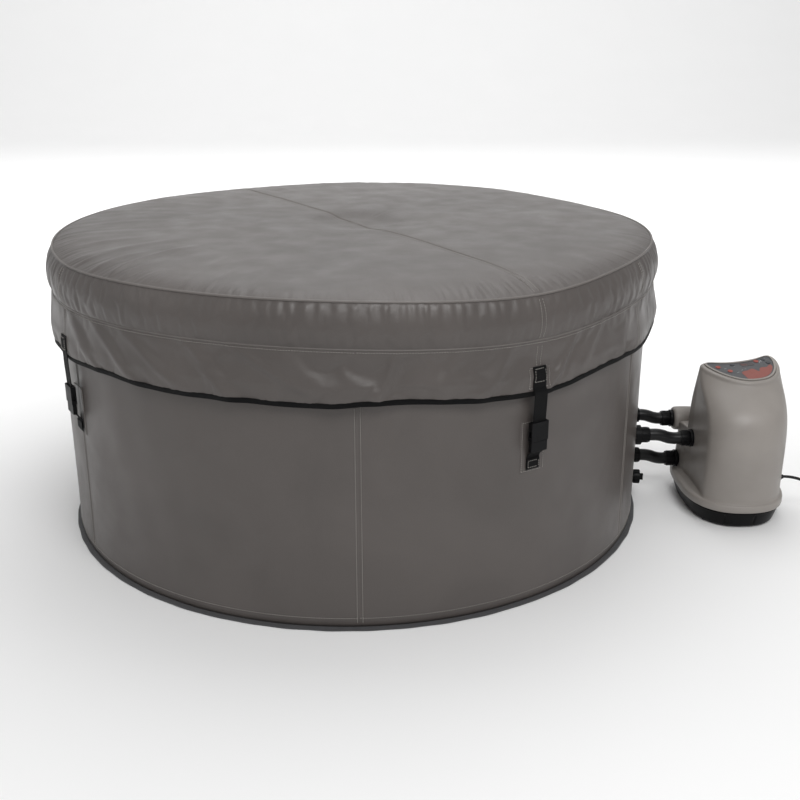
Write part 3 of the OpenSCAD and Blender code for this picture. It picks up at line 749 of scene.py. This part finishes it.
def wall_relief(az, z):
    """Unevenness of the inflated wall's outer face, in metres."""
    top, low = ease(z, WALL_TOP - 0.09, WALL_TOP - 0.045), ease(z, 0.015, 0.08)
    body = low * (1 - top)
    total = 0.0010 * body * waves(az, 51, 12, 24, 4)
    total = total + 0.0006 * body * waves(az + 18 * z, 52, 26, 47, 5)
    for seam in WALL_SEAMS:
        d = away(az, seam)
        total = total - 0.0014 * bell(d, 0.28) * (0.35 + 0.65 * body) - 0.0012 * bell(d, 1.6) * body
    return total - 0.0035 * (1 - ease(z, BASE_Z, BASE_Z + 0.022))


def seam_azimuths(base, extra):
    """Even azimuths with closer ones beside each wall seam."""
    az = list(np.arange(base) * 360 / base)
    for seam in WALL_SEAMS:
        az += [seam + d for d in extra]
    return np.array(sorted(set(np.round(np.array(az) % 360, 4))))


def build_wall():
    """The wall's skin from its foot over its rounded top to the pool, with its stitches."""
    az = seam_azimuths(900, (-0.6, -0.25, -0.12, 0.12, 0.25, 0.6))
    rings = [polar(az, TUB_R - 0.02, BASE_Z - 0.0001)]
    for z in np.linspace(BASE_Z, WALL_TOP - SHOULDER, 82):
        rings.append(polar(az, TUB_R + wall_relief(az, z), z))
    for deg in np.linspace(0, 90, 13)[1:]:
        a = math.radians(deg)
        r = TUB_R - SHOULDER + SHOULDER * math.cos(a)
        rings.append(polar(az, r + 0.0006 * waves(az, 61, 30, 60, 5) * math.sin(2 * a),
                           WALL_TOP - SHOULDER + SHOULDER * math.sin(a) - 0.0006))
    width = TUB_R - POOL_R - 2 * SHOULDER
    for s in np.linspace(0, 1, 8)[1:]:
        dip = 0.0012 * math.sin(math.pi * s)
        rings.append(polar(az, TUB_R - SHOULDER - width * s, WALL_TOP - 0.0006 - dip))
    for deg in np.linspace(0, 90, 13)[1:]:
        a = math.radians(deg)
        rings.append(polar(az, POOL_R + SHOULDER - SHOULDER * math.sin(a),
                           WALL_TOP - SHOULDER + SHOULDER * math.cos(a) - 0.0006))
    verts, faces = bridge(rings)
    skin = mesh_object("wall_skin", verts, faces, "tub", "leatherette")
    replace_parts(skin, "outer_wall", "top_roll")
    bvh = tree(skin)
    solidify(skin, 0.002)
    wall_stitches(bvh)
    return bvh


def wall_stitches(bvh):
    """Stitches beside the wall's upright seams and round its foot."""
    runs = []
    for seam in WALL_SEAMS:
        for side in (-1, 1):
            z = np.arange(BASE_Z + 0.012, WALL_TOP - SHOULDER, STITCH)
            p, n = side_land(bvh, seam + math.degrees(side * 0.0064 / TUB_R), z)
            runs.append(stitch_run(p, n))
    ring = np.arange(0, 360, math.degrees(STITCH / TUB_R))
    p, n = side_land(bvh, ring, BASE_Z + 0.024)
    runs.append(stitch_run(p, n))
    stitches("wall_stitching", runs, "tub")


def build_pool():
    """The pool's liner: a faintly quilted wall and floor."""
    n = 360
    az = np.arange(n) * 360 / n
    rings = []
    top = WALL_TOP - SHOULDER
    for z in np.linspace(top, FLOOR_Z + 0.03, 60):
        u = (z - FLOOR_Z) / (top - FLOOR_Z)
        quilt = 1 - np.abs(np.cos(np.radians(az * 12))) ** 6
        puff = 0.0022 * math.sin(math.pi * min(max(u, 0), 1)) * quilt
        rings.append(polar(az, POOL_R + 0.0006 - puff * 0.4, z))
    for deg in np.linspace(0, 90, 8)[1:]:
        a = math.radians(deg)
        r = POOL_R - 0.03 + 0.03 * math.cos(a)
        rings.append(polar(az, r, FLOOR_Z + 0.0012 + 0.03 - 0.03 * math.sin(a)))
    for q in np.linspace(1, 0.06, 40)[1:]:
        r = (POOL_R - 0.03) * q
        p = polar(az, r, FLOOR_Z + 0.0012)
        p[:, 2] += 0.0006 * np.cos(60 * p[:, 0]) * np.cos(60 * p[:, 1])
        rings.append(p)
    verts, faces = capped(rings)
    liner = mesh_object("pool_liner", verts, faces, "tub", "liner")
    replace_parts(liner, "inner_wall", "floor_sheet")
    solidify(liner, 0.001, 1)


def build_mat():
    """The ground mat, whose slightly lifted edge shows round the wall; its felt is darker than the mat's own
    grey, as painted shade of the crease at the wall's foot.
    """
    n = 720
    az = np.arange(n) * 360 / n
    edge = MAT_R - 0.0015 + 0.0012 * waves(az, 71, 14, 60, 8)
    lift = 0.0012 * (1 + waves(az, 72, 9, 30, 5)) / 2
    profile = [(-0.05, 0.0), (-0.002, 0.0), (0.0, 0.0012), (0.0, 0.0026), (-0.002, 0.0039),
               (-0.05, 0.0039)]
    rings = []
    for d, z in profile:
        rings.append(polar(az, edge + d, z + (lift if d > -0.01 and z > 0.001 else 0)))
    verts, faces = shut(*capped(rings), n, [0, 0, 0])
    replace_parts(mesh_object("ground_mat_felt", verts, faces, "tub", "mat"), "ground_mat")


def build_bladder():
    """The lid's inflated pad: a puffed disc with rings of tie dimples on its underside."""
    n = 240
    az = np.arange(n) * 360 / n
    bottom, top, edge = WALL_TOP + 0.0012, SEAM_Z - 0.007, TUB_R - 0.014
    rings = []
    for q in np.linspace(0.04, 0.97, 40):
        p = polar(az, edge * q, bottom)
        p[:, 2] += 0.004 * bell((q * 7) % 1 - 0.5, 0.16)
        rings.append(p)
    middle, half = (bottom + top) / 2, (top - bottom) / 2
    for deg in np.linspace(-80, 80, 15):
        a = math.radians(deg)
        rings.append(polar(az, edge * 0.972 + 0.022 * math.cos(a), middle + half * math.sin(a)))
    for q in np.linspace(0.97, 0.04, 30):
        rings.append(polar(az, edge * q, top + 0.001))
    verts, faces = shut(*capped(rings), n, [0, 0, bottom])
    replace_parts(mesh_object("lid_pad", verts, faces, "lid", "liner"), "lid_bladder")


# ---------------- straps

def strip(az, path, width, thickness):
    """Flat strap with rounded edges through (radius, height) points; closed at its ends."""
    pts = np.array(path, float)
    seg = np.diff(pts, axis=0)
    tangent = np.vstack([seg[:1], (seg[1:] + seg[:-1]) / 2, seg[-1:]])
    tangent /= np.linalg.norm(tangent, axis=1)[:, None]
    normal = np.stack([-tangent[:, 1], tangent[:, 0]], -1)
    normal *= np.where(normal[:, :1] < 0, -1, 1)
    half, h = width / 2, thickness / 2
    section = [(-half, 0), (-half + h, h), (-half / 3, h), (half / 3, h), (half - h, h), (half, 0),
               (half - h, -h), (half / 3, -h), (-half / 3, -h), (-half + h, -h)]
    a = math.radians(az)
    radial, side = np.array([math.sin(a), -math.cos(a), 0]), np.array([math.cos(a), math.sin(a), 0])
    verts = []
    for (r, z), (nr, nz) in zip(pts, normal):
        for s, d in section:
            verts.append(radial * (r + nr * d) + side * s + np.array([0, 0, z + nz * d]))
    m = len(section)
    faces = []
    for i in range(len(pts) - 1):
        for j in range(m):
            k = (j + 1) % m
            faces.append((i * m + j, i * m + k, (i + 1) * m + k, (i + 1) * m + j))
    faces.append(tuple(range(m - 1, -1, -1)))
    faces.append(tuple(range((len(pts) - 1) * m, len(pts) * m)))
    return np.array(verts), faces


def joined(parts):
    """Several pieces of mesh as one."""
    verts, faces, start = [], [], 0
    for v, f in parts:
        verts.append(v)
        faces += [tuple(i + start for i in face) for face in f]
        start += len(v)
    return np.concatenate(verts), faces


def smooth_path(points, step=0.004):
    """Catmull-Rom path through (radius, height) points."""
    p = np.array(points, float)
    p = np.vstack([2 * p[0] - p[1], p, 2 * p[-1] - p[-2]])
    out = []
    for i in range(1, len(p) - 2):
        n = max(2, int(np.linalg.norm(p[i + 1] - p[i]) / step))
        for t in np.linspace(0, 1, n, endpoint=False):
            a, b, c, d = p[i - 1], p[i], p[i + 1], p[i + 2]
            out.append(0.5 * (2 * b + (c - a) * t + (2 * a - 5 * b + 4 * c - d) * t * t
                              + (3 * b - a - 3 * c + d) * t ** 3))
    out.append(p[-2])
    return out


def build_straps(lid_bvh, wall_bvh):
    """The four pairs of straps, their wall patches and the stitches that hold them."""
    upper_lo, upper_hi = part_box("upper_straps")
    lower_lo, lower_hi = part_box("lower_straps")
    socket_lo, socket_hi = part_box("buckle_sockets")
    tongue_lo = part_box("buckle_tongues")[0]
    patch_lo, patch_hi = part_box("wall_patches")
    buckle_r = TUB_R + 0.020
    width, thick = 0.0376, 0.0018
    uppers, lowers, patches, runs_lid, runs_tub = [], [], [], [], []
    for az in STRAP_AZ:
        path = []
        hem = float(hem_height(az))
        for z in np.linspace(upper_hi.z, hem + 0.012, 14):
            p, _ = side_land(lid_bvh, [az - 1.0, az, az + 1.0], [z] * 3)
            path.append((np.hypot(p[:, 0], p[:, 1]).max() + 0.0014, z))
        r = buckle_r + 0.0014
        path += [(max(path[-1][0], HEM_R + 0.0065), hem + 0.004), (HEM_R + 0.0068, hem - 0.006),
                 (r + 0.002, hem - 0.024), (r + 0.0004, socket_hi.z + 0.012), (r, socket_hi.z - 0.008)]
        uppers.append(strip(az, smooth_path(path), width, thick))
        r0 = TUB_R + 0.0034
        low = [(r0, lower_lo.z), (r0, lower_lo.z + 0.026), (r0 + 0.003, tongue_lo.z - 0.014),
               (buckle_r - 0.002, tongue_lo.z - 0.001), (buckle_r - 0.001, tongue_lo.z + 0.007)]
        lowers.append(strip(az, smooth_path(low), width, thick))
        fold = [(r0 + 0.0022, lower_lo.z + 0.004), (r0 + 0.0022, lower_lo.z + 0.026)]
        lowers.append(strip(az, smooth_path(fold), width * 0.985, thick))
        patches.append(patch_sheet(az, wall_bvh, patch_lo.z, patch_hi.z))
        runs_tub += box_runs(wall_bvh, az, 0.031, patch_lo.z + 0.005, patch_hi.z - 0.005, 0.0019)
        runs_tub += box_runs(wall_bvh, az, 0.015, lower_lo.z + 0.006, lower_lo.z + 0.022, 0.0068)
        runs_lid += box_runs(lid_bvh, az, 0.028, hem + 0.014, upper_hi.z - 0.002, 0.0003)
        runs_lid += box_runs(lid_bvh, az, 0.015, upper_hi.z - 0.034, upper_hi.z - 0.006, 0.0042)
    for name, parts, slot, cad, body in (
            ("strap_upper", uppers, "webbing", "upper_straps", "lid"),
            ("strap_lower", lowers, "webbing", "lower_straps", "tub"),
            ("strap_patch", patches, "leatherette", "wall_patches", "tub")):
        verts, faces = joined(parts)
        piece = mesh_object(name, verts, faces, body, slot, smooth=slot != "webbing")
        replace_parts(piece, cad)
    stitches("patch_stitching", runs_tub, "tub")
    stitches("strap_stitching", runs_lid, "lid")


def patch_sheet(az, bvh, z0, z1):
    """Sewn patch that follows the wall, with a rolled edge."""
    across = np.linspace(-0.035, 0.035, 15)
    up = np.linspace(z0, z1, 27)
    verts, faces = [], []
    for z in up:
        p, n = side_land(bvh, az + np.degrees(across / TUB_R), z)
        edge = min(z - z0, z1 - z) < 1e-6
        for k in range(len(across)):
            outer = edge or k in (0, len(across) - 1)
            verts.append(p[k] + n[k] * (0.0002 if outer else 0.0016))
    m = len(across)
    for i in range(len(up) - 1):
        for j in range(m - 1):
            faces.append((i * m + j, i * m + j + 1, (i + 1) * m + j + 1, (i + 1) * m + j))
    return np.array(verts), faces


def box_runs(bvh, az, half, z0, z1, lift):
    """A rectangle of stitches on a side surface, lifted off it."""
    pitch = 0.0052
    turn = math.degrees(half / TUB_R)
    runs = []
    for side in (-turn, turn):
        p, n = side_land(bvh, az + side, np.arange(z0, z1 + 1e-6, pitch))
        runs.append(stitch_run(p + n * lift, n))
    for z in (z0, z1):
        p, n = side_land(bvh, np.arange(az - turn, az + turn + 1e-6, math.degrees(pitch / TUB_R)), z)
        runs.append(stitch_run(p + n * lift, n))
    return runs


# ---------------- control unit

UNIT_LO, UNIT_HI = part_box("unit_housing")
UNIT_W = (UNIT_HI.x - UNIT_LO.x) / 2
UNIT_FRONT = 0.176
UNIT_MID = (UNIT_LO.x + UNIT_W, UNIT_LO.y + UNIT_FRONT)
UNIT_BACK = UNIT_HI.y - UNIT_MID[1]
RIM_LO = UNIT_LO.z
RIM_HI = RIM_LO + 0.023
WAIST_Z = 0.288
BLOCK_TOP = 0.205
BLOCK_AT = (1.038, -0.095)
PORT_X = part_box("unit_ports")[1].x - 0.020
PANEL_TILT, PANEL_TURN = math.radians(10), math.radians(12)
WALL_BEND, WALL_TURN = -0.140, math.radians(7.8)
AIR_Y, AIR_Z, AIR_FACE = -0.015, 0.212, PORT_X - 0.024
UNIT_N = 192
BASE_SLOTS = (249, 279)  # places of the base's slots round its outline, in degrees
TURN = np.arange(UNIT_N) * 2 * math.pi / UNIT_N


def power(v, p):
    """A power that keeps the sign."""
    return np.sign(v) * np.abs(v) ** p


def oval(w, back, front, p_back, p_front, turn=TURN):
    """Rounded plan outline with its own depth and squareness at the back and the front."""
    c, s = np.cos(turn), np.sin(turn)
    p = np.where(s > 0, 2 / p_back, 2 / p_front)
    return np.stack([w * power(c, p), np.where(s > 0, back, front) * power(s, p)], -1)


def plan(d, shift=0.0):
    """The unit's outline, d outside its rim, with its back moved by shift."""
    squareness = 4 if shift == 0 else 2.8
    return oval(UNIT_W + d, UNIT_BACK + shift + d, UNIT_FRONT + d, squareness, 2.4) + UNIT_MID


def kidney(d, turn=TURN):
    """The panel's kidney outline, d inside the CAD panel ring's inner edge."""
    along = (0.112 - d) * power(np.cos(turn), 0.84)
    return np.stack([along, (0.064 - d) * np.sin(turn) + 0.028 * np.cos(2 * turn)], -1)


def panel_frame(flat, lift):
    """Points of the tilted panel's own plane, from its centre."""
    c, s = math.cos(PANEL_TURN), math.sin(PANEL_TURN)
    x, y = flat[:, 0] * c - flat[:, 1] * s, flat[:, 0] * s + flat[:, 1] * c
    ct, st = math.cos(PANEL_TILT), math.sin(PANEL_TILT)
    return np.stack([x, y * ct - lift * st, y * st + lift * ct], -1)


def panel_centre():
    """The panel's centre, from where the CAD ring is."""
    lo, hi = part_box("panel_ring")
    ring = np.concatenate([panel_frame(kidney(0.0093), lift) for lift in (-0.010, 0.003)])
    return (np.array(lo) + np.array(hi)) / 2 - (ring.min(0) + ring.max(0)) / 2


PANEL_AT = panel_centre()


def in_panel(flat, lift):
    """Points given on the tilted panel, in the shared frame."""
    return panel_frame(flat, lift) + PANEL_AT


def level(flat, z):
    """A plan outline at one height."""
    return np.column_stack([flat, np.full(len(flat), z)])


def soft_wall(points, radius=0.007, inset=0.0):
    """Presses points back to the port wall, whose rear half is turned, with a rounded edge."""
    out = points.copy()
    wall = PORT_X + inset - math.tan(WALL_TURN) * np.maximum(out[:, 1] - WALL_BEND, 0)
    d = out[:, 0] - wall
    out[:, 0] = wall + np.where(d > radius, d, np.where(d < -radius, 0, (d + radius) ** 2 / (4 * radius)))
    return out


def hermite(t):
    return 2 * t ** 3 - 3 * t * t + 1, t ** 3 - 2 * t * t + t, 3 * t * t - 2 * t ** 3, t ** 3 - t * t


def curve_through(a, b, c, n):
    """Rings from a through b to c on a smooth curve."""
    rows = []
    mid = (c - a) / 2
    for t in np.linspace(0, 1, n, endpoint=False):
        h = hermite(t)
        rows.append(h[0] * a + h[1] * (b - a) * 0.9 + h[2] * b + h[3] * mid)
    for t in np.linspace(0, 1, n + 1):
        h = hermite(t)
        rows.append(h[0] * b + h[1] * mid + h[2] * c + h[3] * (c - b) * 1.1)
    return rows


def build_housing():
    """The unit's pot, from its rim up to the panel's opening, and the block behind it."""
    rings = []
    for d, z in ((-0.012, RIM_LO + 0.0002), (-0.003, RIM_LO + 0.0006), (-0.0008, RIM_LO + 0.002),
                 (0.0, RIM_LO + 0.005), (0.0, RIM_HI - 0.006), (-0.0006, RIM_HI - 0.003),
                 (-0.0022, RIM_HI - 0.001), (-0.005, RIM_HI)):
        rings.append(level(plan(d), z))
    low = level(plan(-0.009, -0.088), RIM_HI + 0.004)
    foot = level(plan(-0.0065, -0.0855), RIM_HI + 0.0007)
    rings.append(soft_wall(level(plan(-0.0062, -0.080), RIM_HI + 0.0002), 0.004))
    rings.append(soft_wall(foot, 0.004))
    turned = TURN - PANEL_TURN
    shoulder = in_panel(kidney(-0.003, turned), -0.009)
    waist = level(plan(-0.011, -0.098), WAIST_Z)
    body = curve_through(low, waist, shoulder, 26)
    for ring in body:
        rings.append(soft_wall(ring))
    for d, lift in ((-0.0025, -0.006), (-0.0005, -0.003), (0.0025, -0.0008), (0.006, 0.0),
                    (0.0086, -0.0004), (0.0091, -0.003), (0.0091, -0.012)):
        rings.append(in_panel(kidney(d, turned), lift))
    verts, faces = bridge(rings)
    shell = mesh_object("housing_shell", verts, faces, "tub", "housing")
    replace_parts(shell, "unit_housing")
    solidify(shell, 0.0025)
    build_port_block()
    build_air_boss()


def block_outline(inset):
    return oval(0.106 - inset, 0.085 - inset, 0.085 - inset, 3, 3) + BLOCK_AT


def build_port_block():
    """Low block behind the pot, with a softly rounded top."""
    low = level(plan(-0.008), RIM_HI - 0.003)
    top = level(block_outline(0), BLOCK_TOP)
    rings = [low]
    for t in np.linspace(0, 1, 16)[1:]:
        rings.append(low + (top - low) * t)
    for inset, rise in ((0.0012, 0.004), (0.004, 0.0075), (0.009, 0.0095), (0.018, 0.011),
                        (0.034, 0.012), (0.06, 0.0125)):
        rings.append(level(block_outline(inset), BLOCK_TOP + rise))
    rings = [rings[0]] + [soft_wall(r, inset=0.0008) for r in rings[1:]]
    verts, faces = capped(rings)
    mesh_object("housing_port_block", verts, faces, "tub", "housing")


def build_air_boss():
    """Rounded boss that stands out of the block round the air port."""
    n = 96
    turn = np.arange(n) * 2 * math.pi / n
    rings = []
    for x, r in ((0.010, 0.0165), (0.0, 0.0205), (0.0, 0.0265), (0.0012, 0.0305), (0.0045, 0.0332),
                 (0.010, 0.0342), (0.030, 0.0346), (0.052, 0.0340), (0.068, 0.0310), (0.080, 0.0250),
                 (0.088, 0.0160), (0.091, 0.0060)):
        y, z = AIR_Y + r * np.cos(turn), AIR_Z + r * np.sin(turn)
        rings.append(np.column_stack([np.full(n, AIR_FACE + x), y, z]))
    verts, faces = capped(rings)
    mesh_object("housing_air_boss", verts, faces, "tub", "housing")


PRINT_LIFT = 0.00125
# Outline of a printed stroke with cut corners, from -1 to 1 each way
STROKE = ((-1, -0.6), (-0.9, -1), (0.9, -1), (1, -0.6), (1, 0.6), (0.9, 1), (-0.9, 1), (-1, 0.6))
DIGIT_X = (-0.0005, 0.0085)
DIGIT_HALF = 0.0029


def sheet_on_panel(name, front, back, along, material):
    """Thin print on the panel between two edges given at places along it."""
    outline = np.concatenate([np.column_stack([along, front]), np.column_stack([along, back])])
    n = len(along)
    verts = in_panel(outline, PRINT_LIFT)
    faces = [(i, i + 1, n + i + 1, n + i) for i in range(n - 1)]
    return mesh_object(name, verts, faces, "tub", "panel", material)


def bars_on_panel(name, bars, material, lift=PRINT_LIFT):
    """Short printed strokes: each has a middle, a length, a width and a turn in degrees."""
    verts, faces = [], []
    for x, y, length, width, turn in bars:
        c, s = math.cos(math.radians(turn)), math.sin(math.radians(turn))
        start = len(verts)
        for u, v in STROKE:
            a, b = u * length / 2, v * width / 2
            verts.append((x + a * c - b * s, y + a * s + b * c))
        faces.append(tuple(range(start, start + len(STROKE))))
    return mesh_object(name, in_panel(np.array(verts), lift), faces, "tub", "panel", material)


def build_panel_print():
    """Plain coloured area at the panel's front, lit digits and a few pale marks."""
    edge = kidney(0.0185, np.linspace(math.pi, 2 * math.pi, 200))
    along = np.linspace(-0.026, 0.078, 70)
    front = np.interp(along, edge[:, 0], edge[:, 1])
    share = (along - along[0]) / (along[-1] - along[0])
    back = -0.034 + 0.012 * ease(share, 0.0, 0.25) - 0.012 * bell(share - 0.5, 0.06)
    back += 0.010 * ease(share, 0.6, 1.0)
    back += 0.003 * np.sin(share * 21)
    sheet_on_panel("panel_print", front, back, along, "print")
    lo, hi = -0.0010, 0.0150
    digits = []
    middle, reach = (lo + hi) / 2, (hi - lo) / 2 - 0.0035
    for x in DIGIT_X:
        for y in (middle - reach, middle, middle + reach):
            digits.append((x, y, 0.0046, 0.0011, 0))
        for side in (-DIGIT_HALF, DIGIT_HALF):
            digits.append((x + side, middle + reach / 2, reach * 0.8, 0.0011, 90))
        digits.append((x + DIGIT_HALF, middle - reach / 2, reach * 0.8, 0.0011, 90))
    bars_on_panel("lens_digits", digits, "print", 0.0015)
    marks = [(0.056 + 0.006 * k, 0.012 + 0.004 * k, 0.012 - 0.001 * k, 0.0012, 68) for k in range(5)]
    marks += [(-0.016, -0.020, 0.006, 0.0014, 20), (-0.004, -0.016, 0.005, 0.0014, 0),
              (-0.058, -0.002, 0.008, 0.0012, 15), (-0.034, -0.030, 0.008, 0.0012, 10),
              (-0.028, 0.004, 0.006, 0.0012, 0)]
    bars_on_panel("panel_marks", marks, "pale_print")


def build_base():
    """Tapered base with a rounded foot and two shallow upright slots at the front."""
    turn = np.arange(2 * UNIT_N) * math.pi / UNIT_N
    cut = sum(bell(turn - math.radians(a), 0.012) for a in BASE_SLOTS)
    rings = []
    for d, z, share in ((-0.05, 0.0022, 0), (-0.026, 0.0022, 0), (-0.0215, 0.0035, 0), (-0.0185, 0.007, 0),
                        (-0.0165, 0.014, 0), (-0.0155, 0.0165, 1), (-0.010, 0.034, 1), (-0.0085, 0.039, 1),
                        (-0.008, 0.0415, 0), (-0.0065, RIM_LO - 0.006, 0), (-0.006, RIM_LO - 0.0003, 0)):
        flat = oval(UNIT_W + d, UNIT_BACK + d, UNIT_FRONT + d, 4, 2.4, turn)
        flat = flat * (1 - 0.022 * share * cut)[:, None] + UNIT_MID
        rings.append(level(flat, z))
    verts, faces = bridge(rings)
    shell = mesh_object("base_shell", verts, faces, "tub", "black_plastic")
    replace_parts(shell, "unit_base")
    solidify(shell, 0.002)


# ---------------- stage

CURVE_Y, CURVE_R = 9.0, 5  # where the floor starts to curve up, and the curve's radius
CAMERA_AT = (0, -3.0, 1.35)
CAMERA_TILT, CAMERA_PAN = math.radians(70.3), math.radians(-2.39)
LENS, SENSOR = 49.1, 36


def area(name, place, target, size, power):
    light = bpy.data.lights.new(name, "AREA")
    light.shape = "RECTANGLE"
    light.size, light.size_y = size
    light.energy = power
    obj = bpy.data.objects.new(name, light)
    obj.location = place
    obj.rotation_euler = (Vector(target) - Vector(place)).to_track_quat("-Z", "Y").to_euler()
    bpy.context.collection.objects.link(obj)


def build_stage():
    """Pale floor that curves up behind, a white world and four soft lights."""
    profile = [(-14.0, 0.0), (CURVE_Y, 0.0)]
    for a in np.linspace(0.1, math.pi / 2, 12):
        profile.append((CURVE_Y + CURVE_R * math.sin(a), CURVE_R - CURVE_R * math.cos(a)))
    profile.append((CURVE_Y + CURVE_R, 16.0))
    verts = [(x, y, z - 0.0005) for x in (-30, 30) for y, z in profile]
    n = len(profile)
    mesh = bpy.data.meshes.new("floor")
    mesh.from_pydata(verts, [], [(i, i + n, i + n + 1, i + 1) for i in range(n - 1)])
    mesh.polygons.foreach_set("use_smooth", [True] * len(mesh.polygons))
    floor = bpy.data.objects.new("floor", mesh)
    bpy.context.collection.objects.link(floor)
    s = Surface("floor", (0.9, 0.9, 0.9), 0.8, spec=0.2)
    s.tint(s.noise(2, 2), 0.99, 1.01)
    mesh.materials.append(s.mat)
    world = bpy.data.worlds.new("studio")
    world.use_nodes = True
    world.node_tree.nodes["Background"].inputs[0].default_value = (1, 1, 1, 1)
    world.node_tree.nodes["Background"].inputs[1].default_value = 0.5
    bpy.context.scene.world = world
    area("key", (1.0, -3.3, 3.8), (0, 0, 0.4), (2.4, 1.6), 94)
    area("fill", (-3.6, -1.6, 2.4), (0, 0, 0.4), (2.0, 2.0), 9)
    area("top", (0.2, 1.2, 4.0), (0, 0, 0.6), (3.0, 3.0), 60)
    area("backdrop", (0, 2.2, 5.0), (0, 12, 0), (14, 2), 700)
    bpy.context.scene.view_settings.view_transform = "Standard"


def build_camera():
    """Camera at the front, looking slightly down."""
    cam = bpy.data.cameras.new("camera")
    cam.lens, cam.sensor_width = LENS, SENSOR
    obj = bpy.data.objects.new("camera", cam)
    obj.location = CAMERA_AT
    obj.rotation_euler = (CAMERA_TILT, 0, CAMERA_PAN)
    bpy.context.collection.objects.link(obj)
    bpy.context.scene.camera = obj


dress_cad()
lid_surface = build_lid()
build_bladder()
wall_surface = build_wall()
build_pool()
build_mat()
build_straps(lid_surface, wall_surface)
build_housing()
build_panel_print()
build_base()
build_stage()
build_camera()
